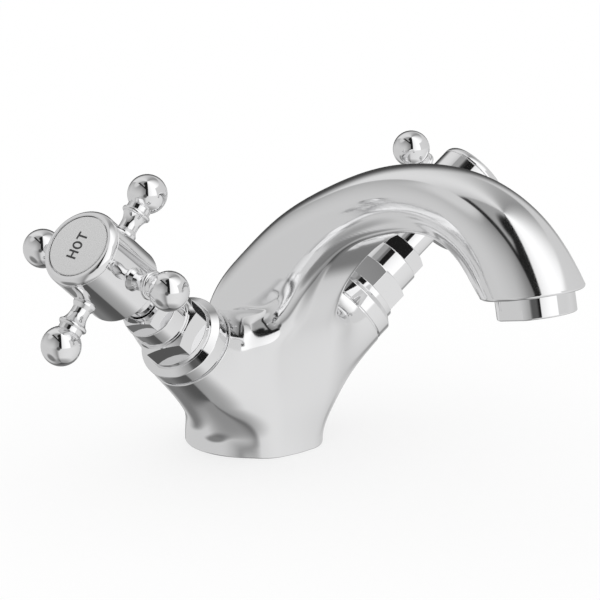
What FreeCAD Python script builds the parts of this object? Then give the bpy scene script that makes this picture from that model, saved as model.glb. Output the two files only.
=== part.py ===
"""Basin mixer tap: one cast body with a swept spout, two quarter-turn valves and two cross handles.

Millimetres. The origin is the middle of the foot, on the basin: +Z is up, the spout reaches towards -Y,
and the hot valve is at -X, the user's left. Each valve piece is drawn about its own valve axis, with its
height measured along that axis from the point where both axes cross inside the body.
"""
import FreeCAD, Part
import Sketcher
import math
import os

doc = FreeCAD.newDocument("basin_mixer_tap")
sheet = doc.addObject("Spreadsheet::Sheet", "sizes")
sub_parts = {}


class Size:
    """A number together with the sheet expression that it follows."""

    def __init__(self, number, text):
        self.number = number
        self.text = text

    def joined(self, other, sign, number):
        return Size(number, f"({self.text} {sign} {as_size(other).text})")

    def __add__(self, other):
        return self.joined(other, "+", self.number + as_size(other).number)

    def __sub__(self, other):
        return self.joined(other, "-", self.number - as_size(other).number)

    def __mul__(self, other):
        return self.joined(other, "*", self.number * as_size(other).number)

    def __truediv__(self, other):
        return self.joined(other, "/", self.number / as_size(other).number)

    def __radd__(self, other):
        return as_size(other) + self

    def __rsub__(self, other):
        return as_size(other) - self

    def __rmul__(self, other):
        return as_size(other) * self

    def __neg__(self):
        return as_size(0) - self


def as_size(value):
    return value if isinstance(value, Size) else Size(float(value), f"({float(value)})")


def sine(angle):
    return Size(math.sin(math.radians(angle.number)), f"sin({angle.text})")


def cosine(angle):
    return Size(math.cos(math.radians(angle.number)), f"cos({angle.text})")


def bearing(across, upward):
    """The angle, in degrees, from upright to a line that goes so far across and so far upward."""
    angle = math.degrees(math.atan2(across.number, upward.number))
    return Size(angle, f"(atan2({across.text}; {upward.text}) / 1 deg)")


def root(square):
    return Size(math.sqrt(square.number), f"sqrt({square.text})")


def size(name, number, note):
    """Writes one driving dimension into the sheet and returns it."""
    row = len(sheet.getUsedCells()) // 2 + 1
    sheet.set(f"A{row}", note)
    sheet.set(f"B{row}", str(number))
    sheet.setAlias(f"B{row}", name)
    return Size(number, f"sizes.{name}")


# Cast body and spout
base_d = size("base_d", 48.0, "foot across")
foot_edge_h = size("foot_edge_h", 2.0, "straight edge of the foot, height")
foot_h = size("foot_h", 28.0, "rounded foot height, inside the horns")
foot_top_d = size("foot_top_d", 24.0, "rounded foot across at its top")
horn_root_d = size("horn_root_d", 45.0, "root of each valve horn across, inside the foot")
valve_tilt = size("valve_tilt", 39.0, "degrees that the valve axes rise")
valve_sweep = size("valve_sweep", 12.0, "degrees that the valve axes turn to the front")
valve_forward = size("valve_forward", 1.0, "crossing of the valve axes, forward of the foot's middle")
valve_rise = size("valve_rise", 12.3, "crossing of the valve axes, above the basin")
boss_reach = size("boss_reach", 47.0, "crossing of the valve axes to the boss's end face")
boss_d = size("boss_d", 30.6, "boss across at its end face")
spout_reach = size("spout_reach", 131.7, "foot's middle to the middle of the outlet")
spout_rise = size("spout_rise", 98.4, "basin to the highest point of the spout's centreline")
spout_d = size("spout_d", 23.4, "spout tube across")
spout_end_d = size("spout_end_d", 32.0, "spout across at its end")
spout_lean = size("spout_lean", 12.0, "degrees that the outlet leans to the front")
overrun = size("overrun", 1.0, "length by which a cut passes its face")

# Waterways and fixings in the body
bore_d = size("bore_d", 14.0, "waterway through the spout")
chamber_depth = size("chamber_depth", 19.0, "valve chamber, from the boss's end face to its floor")
thread_bore_d = size("thread_bore_d", 21.0, "valve chamber across")
seat_d = size("seat_d", 8.0, "waterway under the valve seat")
inlet_along = size("inlet_along", 16.0, "crossing of the valve axes to the top of an inlet")
inlet_d = size("inlet_d", 7.0, "inlet waterway across")
inlet_thread_d = size("inlet_thread_d", 8.92, "tapped mouth of an inlet across, for a M10x1 tail")
inlet_thread_l = size("inlet_thread_l", 12.0, "tapped mouth of an inlet, depth")
stud_hole_d = size("stud_hole_d", 6.65, "tapped hole for the M8 fixing stud across")
stud_hole_l = size("stud_hole_l", 12.0, "tapped hole for the fixing stud, depth")
stud_back = size("stud_back", 12.5, "fixing stud behind the foot's middle")
mixing_d = size("mixing_d", 17.0, "mixing chamber across")
mixing_back = size("mixing_back", 6.0, "mixing chamber behind the foot's middle")
mixing_rise = size("mixing_rise", 33.0, "mixing chamber above the basin")
cross_d = size("cross_d", 7.0, "waterway between the valve chambers across")
cross_back = size("cross_back", 3.0, "waterway between the valve chambers, behind the foot's middle")
cross_lift = size("cross_lift", 4.0, "end of that waterway above the chamber's floor, along the valve axis")
gasket_d = size("gasket_d", 43.0, "base gasket across")
gasket_w = size("gasket_w", 3.0, "base gasket, width of its ring")
gasket_t = size("gasket_t", 2.0, "base gasket thickness")

# Fits
run_gap = size("run_gap", 0.06, "running clearance of a turning piece")
slip_gap = size("slip_gap", 0.1, "clearance of a piece that is screwed or slid in")
free_gap = size("free_gap", 0.4, "clearance of a turning piece that shows")

# Valve, from the body outwards
collar_d = size("collar_d", 30.0, "valve collar across")
collar_h = size("collar_h", 7.5, "valve collar height")
collar_top_d = size("collar_top_d", 25.6, "valve collar across at its top")
collar_bevel_h = size("collar_bevel_h", 1.9, "valve collar, height of its bevel")
groove_d = size("groove_d", 28.8, "groove between the boss and the collar, across its floor")
groove_h = size("groove_h", 0.7, "groove between the boss and the collar, height")
thread_l = size("thread_l", 9.5, "headwork thread inside the body")
cage_d = size("cage_d", 19.0, "headwork cage across")
cage_wall = size("cage_wall", 1.2, "headwork cage wall")
cage_lift = size("cage_lift", 0.6, "headwork cage above the chamber floor")
window_w = size("window_w", 6.0, "outlet window of the cage, width")
window_h = size("window_h", 2.4, "outlet window of the cage, height")
shoulder_h = size("shoulder_h", 2.2, "round shoulder under the headwork's hexagon")
hex_flats = size("hex_flats", 21.5, "headwork hexagon across its flats")
hex_h = size("hex_h", 8.1, "headwork hexagon height")
hex_turn = size("hex_turn", 26.0, "degrees that the hexagon is turned about its axis")
barrel_d = size("barrel_d", 19.4, "headwork barrel across")
barrel_h = size("barrel_h", 7.5, "headwork barrel height")
gland_flats = size("gland_flats", 16.0, "gland nut across its flats")
gland_h = size("gland_h", 5.7, "gland nut height")
gland_turn = size("gland_turn", 14.0, "degrees that the gland nut is turned about its axis")
gland_thread_d = size("gland_thread_d", 15.0, "gland nut thread across")
gland_thread_l = size("gland_thread_l", 4.2, "gland nut thread length")
gland_socket_l = size("gland_socket_l", 6.3, "socket in the barrel for the gland nut, depth")
gland_mouth_h = size("gland_mouth_h", 2.5, "mouth of the gland nut round the handle's sleeve, depth")
seal_t = size("seal_t", 3.2, "seat seal thickness")
seal_d = size("seal_d", 16.2, "seat seal across")
seal_w = size("seal_w", 2.6, "seat seal, width of its ring")
disc_d = size("disc_d", 15.8, "ceramic disc across")
disc_t = size("disc_t", 3.0, "ceramic disc thickness")
port_d = size("port_d", 4.4, "port of a ceramic disc across")
port_ring_d = size("port_ring_d", 9.6, "ring that the fixed disc's ports lie on, across")
notch_ring_d = size("notch_ring_d", 12.6, "ring that the moving disc's notches lie on, across")
tang_w = size("tang_w", 3.0, "driving tang width")
tang_l = size("tang_l", 10.0, "driving tang length")
tang_h = size("tang_h", 1.4, "driving tang height")
flange_t = size("flange_t", 2.0, "spindle flange thickness")
washer_t = size("washer_t", 0.8, "thrust washer thickness")
shaft_d = size("shaft_d", 10.0, "spindle across in its bore")
head_d = size("head_d", 8.0, "spindle across above the gland nut")
square_w = size("square_w", 5.6, "square end of the spindle across its flats")
square_h = size("square_h", 7.5, "square end of the spindle, height")
ring_d = size("ring_d", 1.5, "section of a spindle seal across")
ring_first = size("ring_first", 5.0, "first spindle seal above the cage's roof")
ring_step = size("ring_step", 5.0, "distance between the spindle seals")
ring_groove_h = size("ring_groove_h", 2.0, "groove of a spindle seal, height")
circlip_t = size("circlip_t", 1.0, "circlip thickness")
circlip_d = size("circlip_d", 13.0, "circlip across")
circlip_depth = size("circlip_depth", 0.6, "circlip groove depth")
circlip_gap = size("circlip_gap", 4.0, "opening of the circlip")

# Handle
neck_l = size("neck_l", 11.7, "gland nut to the underside of the hub")
sleeve_d = size("sleeve_d", 11.4, "sleeve under the hub across")
sleeve_entry = size("sleeve_entry", 1.7, "length of the sleeve inside the gland nut's mouth")
hub_d = size("hub_d", 26.4, "hub across")
hub_h = size("hub_h", 24.3, "hub height")
hub_edge = size("hub_edge", 0.8, "rounding of the hub's lower edge")
hub_floor = size("hub_floor", 2.5, "floor of the hub under the drive bush")
hub_recess = size("hub_recess", 2.0, "recess in the hub's top for the bezel, depth")
arm_rise = size("arm_rise", 11.1, "underside of the hub to the arms' axes")
arm_turn = size("arm_turn", 6.7, "degrees that the closed handle's cross is turned")
arm_reach = size("arm_reach", 28.3, "valve axis to the middle of a ball")
ball_d = size("ball_d", 12.9, "ball across")
stem_d = size("stem_d", 6.0, "arm stem across")
arm_root_d = size("arm_root_d", 7.6, "foot of an arm across")
arm_root_h = size("arm_root_h", 1.0, "foot of an arm, height")
arm_root_taper = size("arm_root_taper", 1.3, "taper from an arm's foot to its stem, height")
spigot_d = size("spigot_d", 5.0, "arm spigot in the hub across")
spigot_l = size("spigot_l", 3.0, "arm spigot length")
spot_depth = size("spot_depth", 0.6, "depth of the flat seat cut in the hub for an arm")
bell_d = size("bell_d", 8.3, "bell of an arm across, at its bead")
bell_h = size("bell_h", 3.6, "bell of an arm, height")
bead_d = size("bead_d", 9.6, "bead of an arm across")
bead_w = size("bead_w", 1.6, "bead of an arm, width")
bead_at = size("bead_at", 20.8, "valve axis to the middle of the bead")
arm_neck_d = size("arm_neck_d", 7.9, "neck between bead and ball across")
bush_d = size("bush_d", 13.0, "drive bush across")
bush_h = size("bush_h", 10.0, "drive bush height")
bush_web = size("bush_web", 2.5, "web at the top of the drive bush")
screw_d = size("screw_d", 4.0, "handle screw across")
screw_l = size("screw_l", 9.0, "handle screw length")
screw_head_d = size("screw_head_d", 7.2, "handle screw head across")
screw_head_h = size("screw_head_h", 3.0, "handle screw head height")
screw_key = size("screw_key", 3.0, "socket of the handle screw across its flats")
bezel_h = size("bezel_h", 2.8, "index bezel above the hub")
bezel_edge_h = size("bezel_edge_h", 0.6, "index bezel, straight edge above the hub")
bezel_top_d = size("bezel_top_d", 23.6, "index bezel across at its top")
bezel_round = size("bezel_round", 3.2, "radius of the bezel's rounded bevel")
index_d = size("index_d", 21.2, "index disc across")
index_t = size("index_t", 1.7, "index disc thickness at its edge")
index_crown = size("index_crown", 0.3, "index disc, rise of its middle over its edge")
ledge_w = size("ledge_w", 2.2, "ledge in the bezel under the index disc")

# Aerator
aerator_d = size("aerator_d", 24.6, "aerator housing across where it shows")
aerator_show = size("aerator_show", 6.6, "aerator housing below the spout")
aerator_edge = size("aerator_edge", 0.5, "bevel of the housing's lower edge")
aerator_thread_d = size("aerator_thread_d", 22.9, "tapped socket for the aerator across")
aerator_thread_l = size("aerator_thread_l", 7.5, "aerator housing inside the spout")
aerator_flats = size("aerator_flats", 22.5, "spanner flats of the housing, across")
aerator_flat_h = size("aerator_flat_h", 3.3, "spanner flats of the housing, height")
aerator_wall = size("aerator_wall", 1.1, "housing wall at its thread")
lip_w = size("lip_w", 0.9, "lip under the insert, width")
lip_t = size("lip_t", 1.2, "lip under the insert, thickness")
mesh_t = size("mesh_t", 0.6, "mesh disc thickness")
mesh_hole_d = size("mesh_hole_d", 1.8, "hole of the mesh disc across")
insert_h = size("insert_h", 10.0, "flow insert height")
insert_hole_d = size("insert_hole_d", 2.6, "channel of the flow insert across")
outlet_ring_step = size("outlet_ring_step", 3.5, "distance between the rings of outlet holes")
outlet_seal_t = size("outlet_seal_t", 2.0, "aerator seal thickness")
outlet_seal_w = size("outlet_seal_w", 3.2, "aerator seal, width of its ring")

doc.recompute()

# Shares of the foot-to-boss run: reach, height, tilt, and width between the root and the boss
HORN_SHARES = [
    (0.03, 0.03, 0.03, 0.04),
    (0.04, 0.1, 0.14, 0.13),
    (0.075, 0.196, 0.333, 0.252),
    (0.225, 0.4, 0.667, 0.485),
    (0.458, 0.606, 0.873, 0.696),
    (0.726, 0.807, 0.98, 0.877),
    (1.0, 1.0, 1.0, 1.0),
]

# Shares along the spout: reach, rise, skew of a right angle, swelling to the foot, flare to the end
SPOUT_SHARES = [
    (-0.005, 0.02, 0.179, 0.74, 0.0),
    (-0.027, 0.122, 0.143, 0.84, 0.0),
    (-0.049, 0.244, 0.212, 0.6, 0.0),
    (-0.06, 0.347, 0.231, 0.27, 0.0),
    (-0.046, 0.442, 0.027, 0.07, 0.0),
    (0.059, 0.606, -0.027, 0.0, 0.0),
    (0.192, 0.752, -0.026, 0.0, 0.0),
    (0.352, 0.873, 0.003, 0.0, 0.0),
    (0.51, 0.959, 0.02, 0.0, 0.0),
    (0.654, 1.0, 0.057, 0.0, 0.0),
    (0.791, 0.984, 0.049, 0.0, 0.26),
    (0.917, 0.899, 0.099, 0.0, 0.65),
]
SPOUT_END_RISE_SHARE = 0.777
WATERWAY_FIRST_ROW = 3
RIGHT_ANGLE = 90
HALF_TURN = 180
ARM_COUNT = 4
OUTLET_RING_COUNT = 2
FIRST_RING_HOLE_COUNT = 6
HEXAGON_SIDE_COUNT = 6
SQUARE_SIDE_COUNT = 4

# Heights along a valve axis
collar_top = boss_reach + collar_h
shoulder_top = collar_top + shoulder_h
hex_top = shoulder_top + hex_h
barrel_top = hex_top + barrel_h
gland_top = barrel_top + gland_h
hub_low = gland_top + neck_l
hub_top = hub_low + hub_h
arm_level = hub_low + arm_rise
bezel_top = hub_top + bezel_h
chamber_floor = boss_reach - chamber_depth
seal_top = chamber_floor + seal_t
fixed_top = seal_top + disc_t
moving_low = fixed_top + run_gap
moving_top = moving_low + disc_t
flange_low = moving_top + run_gap
flange_top = flange_low + flange_t
washer_low = flange_top + run_gap
washer_top = washer_low + washer_t
cage_roof = washer_top + run_gap
socket_floor = barrel_top - gland_socket_l
circlip_low = socket_floor + slip_gap
mouth_floor = gland_top - gland_mouth_h
bush_low = hub_low + hub_floor
bush_top = bush_low + bush_h
square_low = bush_low - slip_gap
bezel_low = hub_top - hub_recess + slip_gap
index_low = bezel_top - index_t

# Heights in the aerator, from its mouth upwards
mesh_low = lip_t
insert_low = mesh_low + mesh_t
aerator_top = aerator_show + aerator_thread_l
aerator_socket_top = aerator_top + outlet_seal_t

SIDES = {"hot": -1, "cold": 1}


def bind(piece, name, value):
    piece.setExpression(name, as_size(value).text)


def place(piece, at, turns):
    """Binds a placement: a point, and a chain of yaw, pitch and roll triples."""
    point = "; ".join(as_size(value).text for value in at)
    chain = " * ".join(
        "create(<<rotation>>; " + "; ".join(as_size(angle).text for angle in turn) + ")" for turn in turns
    )
    piece.setExpression("Placement", f"create(<<placement>>; create(<<vector>>; {point}); {chain})")
    return piece


def along_valve(side, distance):
    """The point at a distance along one valve axis."""
    level = distance * cosine(valve_tilt)
    return (
        SIDES[side] * level * cosine(valve_sweep),
        -valve_forward - level * sine(valve_sweep),
        valve_rise + distance * sine(valve_tilt),
    )


def valve_turn(side, pitch):
    yaw = as_size(HALF_TURN) + valve_sweep if side == "hot" else -valve_sweep
    return (yaw, pitch, 0)


def on_valve(piece, side):
    return place(piece, along_valve(side, as_size(0)), [valve_turn(side, RIGHT_ANGLE - valve_tilt)])


def on_outlet(piece):
    """Sets a piece that is drawn upwards from the aerator's mouth into the spout's end."""
    at = (
        0,
        -spout_reach - aerator_show * sine(spout_lean),
        spout_rise * SPOUT_END_RISE_SHARE - aerator_show * cosine(spout_lean),
    )
    return place(piece, at, [(0, 0, -spout_lean)])


def add(kind, label, **sizes):
    piece = doc.addObject(kind, label)
    for name, value in sizes.items():
        bind(piece, name, value)
    return piece


def cylinder(label, diameter, low, high):
    piece = add("Part::Cylinder", label, Radius=diameter / 2, Height=high - low)
    return place(piece, (0, 0, low), [(0, 0, 0)])


def box(label, width, depth, low, high):
    """A block about the Z axis."""
    piece = add("Part::Box", label, Length=width, Width=depth, Height=high - low)
    return place(piece, (-width / 2, -depth / 2, low), [(0, 0, 0)])


def prism(label, sides, flats, low, high, turn):
    corner_share = math.cos(math.pi / sides)
    piece = add("Part::Prism", label, Circumradius=flats / 2 / corner_share, Height=high - low)
    piece.Polygon = sides
    return place(piece, (0, 0, low), [(turn, 0, 0)])


def fuse(label, pieces):
    piece = doc.addObject("Part::MultiFuse", label)
    piece.Shapes = pieces
    return piece


def cut(label, base, tool):
    piece = doc.addObject("Part::Cut", label)
    piece.Base = base
    piece.Tool = tool
    return piece


def common(label, base, tool):
    piece = doc.addObject("Part::Common", label)
    piece.Base = base
    piece.Tool = tool
    return piece


def group(label, pieces):
    piece = doc.addObject("Part::Compound", label)
    piece.Links = pieces
    return piece


def keep(piece):
    """Lists a finished sub-part, which is written under its label."""
    sub_parts[piece.Label] = piece
    return piece


def outline_edge(start, end, radius):
    """A straight edge, or an arc that swells out from the axis (radius over 0) or curves in (under 0), with
    the numbers of its ends in the order that the outline meets them."""
    if radius is None:
        return Part.LineSegment(start, end), (1, 2)
    chord = end - start
    outward = FreeCAD.Vector(chord.y, -chord.x, 0).normalize()
    sagitta = abs(radius.number) - math.sqrt(radius.number ** 2 - chord.Length ** 2 / 4)
    middle = (start + end) / 2 + outward * math.copysign(sagitta, radius.number)
    if radius.number > 0:
        return Part.Arc(start, middle, end), (1, 2)
    return Part.Arc(end, middle, start), (2, 1)


def turned(label, outline):
    """A body turned about Z. The outline lists (radius, height) corners anticlockwise, from the bottom
    outwards and up; a third value is the radius of the arc that leads to the next corner."""
    body = doc.addObject("PartDesign::Body", label)
    sketch = body.newObject("Sketcher::SketchObject", f"{label}_outline")
    planes = [plane for plane in body.Origin.OriginFeatures if plane.Role == "XZ_Plane"]
    sketch.AttachmentSupport = (planes[0], [""])
    sketch.MapMode = "FlatFace"
    corners = [(as_size(corner[0]), as_size(corner[1])) for corner in outline]
    arcs = [corner[2] if len(corner) > 2 else None for corner in outline]
    points = [FreeCAD.Vector(radius.number, height.number, 0) for radius, height in corners]
    ends = []
    for index, point in enumerate(points):
        following = points[(index + 1) % len(points)]
        edge, edge_ends = outline_edge(point, following, arcs[index])
        sketch.addGeometry(edge, False)
        ends.append(edge_ends)
    for index, (first, last) in enumerate(ends):
        following = (index + 1) % len(points)
        sketch.addConstraint(Sketcher.Constraint("Coincident", index, last, following, ends[following][0]))
    for index, (radius, height) in enumerate(corners):
        first = ends[index][0]
        for kind, value, axis in (("DistanceX", radius, -2), ("DistanceY", height, -1)):
            if value.number == 0:
                sketch.addConstraint(Sketcher.Constraint("PointOnObject", index, first, axis))
                continue
            number = sketch.addConstraint(Sketcher.Constraint(kind, -1, 1, index, first, value.number))
            sketch.setExpression(f"Constraints[{number}]", value.text)
        if arcs[index] is not None:
            bend = arcs[index] if arcs[index].number > 0 else -arcs[index]
            number = sketch.addConstraint(Sketcher.Constraint("Radius", index, bend.number))
            sketch.setExpression(f"Constraints[{number}]", bend.text)
    revolution = body.newObject("PartDesign::Revolution", f"{label}_turn")
    revolution.Profile = sketch
    revolution.ReferenceAxis = (sketch, ["V_Axis"])
    revolution.Angle = 2 * HALF_TURN
    return body


def ring(label, diameter, width, low, high):
    outer = diameter / 2
    inner = outer - width
    return turned(label, [(inner, low), (outer, low), (outer, high), (inner, high)])


def nut(label, flats, low, high, turn, inner):
    """A hexagon ring whose upper corners are bevelled down to its flats."""
    corner = flats / 2 / math.cos(math.pi / HEXAGON_SIDE_COUNT)
    bevel = (corner - flats / 2) * math.tan(math.pi / HEXAGON_SIDE_COUNT)
    envelope = turned(f"{label}_envelope", [
        (inner, low),
        (corner, low),
        (corner, high - bevel),
        (flats / 2, high),
        (inner, high),
    ])
    return common(label, prism(f"{label}_prism", HEXAGON_SIDE_COUNT, flats, low, high, turn), envelope)


# Cast body
def section(label, diameter, at, turn):
    return place(add("Part::Circle", label, Radius=diameter / 2), at, [turn])


def loft(label, sections):
    piece = doc.addObject("Part::Loft", label)
    piece.Sections = sections
    piece.Solid = True
    return piece


def valve_horn(side):
    """The part of the casting that bends from the foot to one valve boss."""
    boss = along_valve(side, boss_reach)
    sections = []
    for row, (reach, height, tilt, width) in enumerate(HORN_SHARES):
        at = (boss[0] * reach, boss[1] * reach, boss[2] * height)
        diameter = horn_root_d + (boss_d - horn_root_d) * width
        turn = valve_turn(side, (RIGHT_ANGLE - valve_tilt) * tilt)
        sections.append(section(f"{side}_horn_{row}", diameter, at, turn))
    return loft(f"{side}_horn", sections)


def spout_end(distance):
    """The point at a distance above the spout's end, on the aerator's axis."""
    return (
        0,
        -spout_reach + distance * sine(spout_lean),
        spout_rise * SPOUT_END_RISE_SHARE + distance * cosine(spout_lean),
    )


def spout_point(row):
    """The middle of one section of the spout; the row after the table's last is the spout's end."""
    if row == len(SPOUT_SHARES):
        return spout_end(as_size(0))
    reach, rise = SPOUT_SHARES[row][:2]
    return (0, -spout_reach * reach, spout_rise * rise)


def spout_row(row):
    """A section's middle and its turn: square to the line between its neighbours, plus its own skew."""
    before = spout_point(max(row - 1, 0))
    after = spout_point(row + 1)
    path = bearing(before[1] - after[1], after[2] - before[2])
    return spout_point(row), (0, 0, path + RIGHT_ANGLE * SPOUT_SHARES[row][2])


def spout_shell():
    end_turn = (0, 0, HALF_TURN - spout_lean)
    sections = []
    for row, (_, _, _, swell, flare) in enumerate(SPOUT_SHARES):
        diameter = spout_d + (base_d - spout_d) * swell + (spout_end_d - spout_d) * flare
        sections.append(section(f"spout_{row}", diameter, *spout_row(row)))
    sections.append(section("spout_end", spout_end_d, spout_end(as_size(0)), end_turn))
    return loft("spout_shell", sections)


def spout_waterway():
    top = aerator_thread_l + outlet_seal_t
    sections = []
    for row in range(WATERWAY_FIRST_ROW, len(SPOUT_SHARES)):
        sections.append(section(f"waterway_{row}", bore_d, *spout_row(row)))
    sections.append(section("waterway_end", bore_d, spout_end(top - overrun), (0, 0, HALF_TURN - spout_lean)))
    return loft("spout_waterway", sections)


def aerator_socket():
    low = aerator_show - overrun
    wall = aerator_thread_d / 2
    outline = [(0, low), (wall, low), (wall, aerator_socket_top), (0, aerator_socket_top)]
    return on_outlet(turned("aerator_socket", outline))


def valve_waterways(side):
    """The valve chamber, the way under its seat, and the inlet below that."""
    chamber = cylinder(f"{side}_chamber", thread_bore_d, chamber_floor, boss_reach + overrun)
    seat = cylinder(f"{side}_seat", seat_d, inlet_along - seat_d / 2, chamber_floor + overrun)
    at = along_valve(side, inlet_along)
    inlet = cylinder(f"{side}_inlet", inlet_d, as_size(0), at[2])
    mouth = cylinder(f"{side}_inlet_mouth", inlet_thread_d, -overrun, inlet_thread_l)
    place(inlet, (at[0], at[1], 0), [(0, 0, 0)])
    place(mouth, (at[0], at[1], -overrun), [(0, 0, 0)])
    return [on_valve(fuse(f"{side}_valve_way", [chamber, seat]), side), inlet, mouth]


def body_foot():
    """The round foot: its side leaves the basin upright and curves in under the horns."""
    inward = (base_d - foot_top_d) / 2
    upward = foot_h - foot_edge_h
    return turned("body_foot", [
        (0, 0),
        (base_d / 2, 0),
        (base_d / 2, foot_edge_h, (inward * inward + upward * upward) / (inward * 2)),
        (foot_top_d / 2, foot_h),
        (0, foot_h),
    ])


def body_casting():
    shell = fuse("body_shell", [body_foot(), valve_horn("hot"), valve_horn("cold"), spout_shell()])
    mixing = add("Part::Sphere", "mixing_chamber", Radius=mixing_d / 2)
    place(mixing, (0, mixing_back, mixing_rise), [(0, 0, 0)])
    cross_half, _, cross_rise = along_valve("cold", chamber_floor + cross_lift)
    cross = add("Part::Cylinder", "cross_waterway", Radius=cross_d / 2, Height=cross_half * 2)
    place(cross, (-cross_half, cross_back, cross_rise), [(0, RIGHT_ANGLE, 0)])
    stud = cylinder("stud_hole", stud_hole_d, -overrun, stud_hole_l)
    place(stud, (0, stud_back, -overrun), [(0, 0, 0)])
    groove_floor = gasket_t + slip_gap
    groove = ring("gasket_groove", gasket_d + slip_gap * 2, gasket_w + slip_gap * 2, -overrun, groove_floor)
    ways = [mixing, cross, stud, groove, aerator_socket(), spout_waterway()]
    ways += valve_waterways("hot") + valve_waterways("cold")
    return keep(cut("body_casting", shell, fuse("waterways", ways)))


# Valve pieces
def valve_collar(side):
    inner = thread_bore_d / 2
    bevel_low = collar_top - collar_bevel_h
    collar = turned(f"{side}_valve_collar", [
        (inner, boss_reach),
        (groove_d / 2, boss_reach),
        (groove_d / 2, boss_reach + groove_h),
        (collar_d / 2, boss_reach + groove_h),
        (collar_d / 2, bevel_low),
        (collar_top_d / 2, collar_top),
        (inner, collar_top),
    ])
    return keep(on_valve(collar, side))


def headwork_body(side):
    thread = thread_bore_d / 2 - slip_gap
    cage_inner = cage_d / 2 - cage_wall
    bore = shaft_d / 2 + run_gap
    corner = hex_flats / 2 / math.cos(math.pi / HEXAGON_SIDE_COUNT)
    thread_low = boss_reach - thread_l
    core = turned(f"{side}_headwork_core", [
        (cage_inner, chamber_floor + cage_lift),
        (cage_d / 2, chamber_floor + cage_lift),
        (cage_d / 2, thread_low),
        (thread, thread_low),
        (thread, collar_top),
        (corner, collar_top),
        (corner, shoulder_top),
        (barrel_d / 2, shoulder_top),
        (barrel_d / 2, barrel_top),
        (gland_thread_d / 2 + slip_gap, barrel_top),
        (gland_thread_d / 2 + slip_gap, socket_floor),
        (bore, socket_floor),
        (bore, cage_roof),
        (cage_inner, cage_roof),
    ])
    hexagon = nut(f"{side}_headwork_hex", hex_flats, shoulder_top, hex_top, SIDES[side] * -hex_turn,
                  (barrel_d / 2 + gland_thread_d / 2) / 2)
    across = box(f"{side}_window_x", cage_d + overrun, window_w, moving_low, moving_low + window_h)
    along = box(f"{side}_window_y", window_w, cage_d + overrun, moving_low, moving_low + window_h)
    solid = fuse(f"{side}_headwork_solid", [core, hexagon])
    windows = fuse(f"{side}_windows", [across, along])
    return keep(on_valve(cut(f"{side}_headwork_body", solid, windows), side))


def gland_nut(side):
    bore = shaft_d / 2 + run_gap
    mouth = sleeve_d / 2 + free_gap
    inner = (mouth + gland_flats / 2) / 2
    thread_low = barrel_top - gland_thread_l
    core = turned(f"{side}_gland_core", [
        (bore, thread_low),
        (gland_thread_d / 2, thread_low),
        (gland_thread_d / 2, barrel_top),
        (inner, barrel_top),
        (inner, gland_top),
        (mouth, gland_top),
        (mouth, mouth_floor),
        (bore, mouth_floor),
    ])
    hexagon = nut(f"{side}_gland_hex", gland_flats, barrel_top, gland_top, SIDES[side] * -gland_turn,
                  (mouth + inner) / 2)
    return keep(on_valve(fuse(f"{side}_gland_nut", [core, hexagon]), side))


def seat_seal(side):
    return keep(on_valve(ring(f"{side}_seat_seal", seal_d, seal_w, chamber_floor, seal_top), side))


def ports(label, diameter, ring_across, turn, low, high):
    """A pair of round cutters, opposite each other about the axis."""
    pair = []
    for number, sign in enumerate((-1, 1)):
        cutter = cylinder(f"{label}_{number}", diameter, low, high)
        at = (sign * ring_across / 2 * cosine(turn), sign * ring_across / 2 * sine(turn), low)
        pair.append(place(cutter, at, [(0, 0, 0)]))
    return pair


def disc_fixed(side):
    blank = cylinder(f"{side}_fixed_blank", disc_d, seal_top, fixed_top)
    holes = ports(f"{side}_port", port_d, port_ring_d, as_size(0), seal_top - overrun, fixed_top + overrun)
    disc = cut(f"{side}_ceramic_disc_fixed", blank, fuse(f"{side}_ports", holes))
    return keep(on_valve(disc, side))


def disc_moving(side):
    """Shut at rest: its two open notches stand a quarter turn from the fixed disc's ports."""
    blank = cylinder(f"{side}_moving_blank", disc_d, moving_low, moving_top)
    notches = ports(f"{side}_notch", port_d + disc_d - notch_ring_d, notch_ring_d, as_size(RIGHT_ANGLE),
                    moving_low - overrun, moving_top + overrun)
    slot_low = moving_top - tang_h - slip_gap
    slot = box(f"{side}_slot", tang_l + slip_gap * 2, tang_w + slip_gap * 2, slot_low, moving_top + overrun)
    disc = cut(f"{side}_ceramic_disc_moving", blank, fuse(f"{side}_notches", notches + [slot]))
    return keep(on_valve(disc, side))


def ring_heights():
    """The middles of the two spindle seals."""
    first = cage_roof + ring_first
    return [first, first + ring_step]


def ring_floor():
    return shaft_d / 2 + run_gap / 2 - ring_d


def spindle(side):
    shaft = shaft_d / 2
    floor = ring_floor() - run_gap / 4
    outline = [
        (0, flange_low),
        (disc_d / 2, flange_low),
        (disc_d / 2, flange_top),
        (shaft, flange_top),
    ]
    grooves = [(middle, ring_groove_h / 2, floor) for middle in ring_heights()]
    grooves.append((circlip_low + circlip_t / 2, circlip_t / 2 + slip_gap / 2, shaft - circlip_depth))
    for middle, half, depth in grooves:
        outline.append((shaft, middle - half))
        outline.append((depth, middle - half))
        outline.append((depth, middle + half))
        outline.append((shaft, middle + half))
    outline += [(shaft, mouth_floor), (head_d / 2, mouth_floor), (head_d / 2, square_low), (0, square_low)]
    tang = box(f"{side}_tang", tang_l, tang_w, flange_low - tang_h - run_gap, flange_low + flange_t / 2)
    square_top = square_low + square_h
    square = prism(f"{side}_square", SQUARE_SIDE_COUNT, square_w, square_low - overrun, square_top, 0)
    solid = fuse(f"{side}_spindle_solid", [turned(f"{side}_spindle_shaft", outline), tang, square])
    hole_low = bush_top - screw_l - overrun
    hole = cylinder(f"{side}_screw_hole", screw_d + slip_gap, hole_low, square_top + overrun)
    return keep(on_valve(cut(f"{side}_spindle", solid, hole), side))


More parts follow.
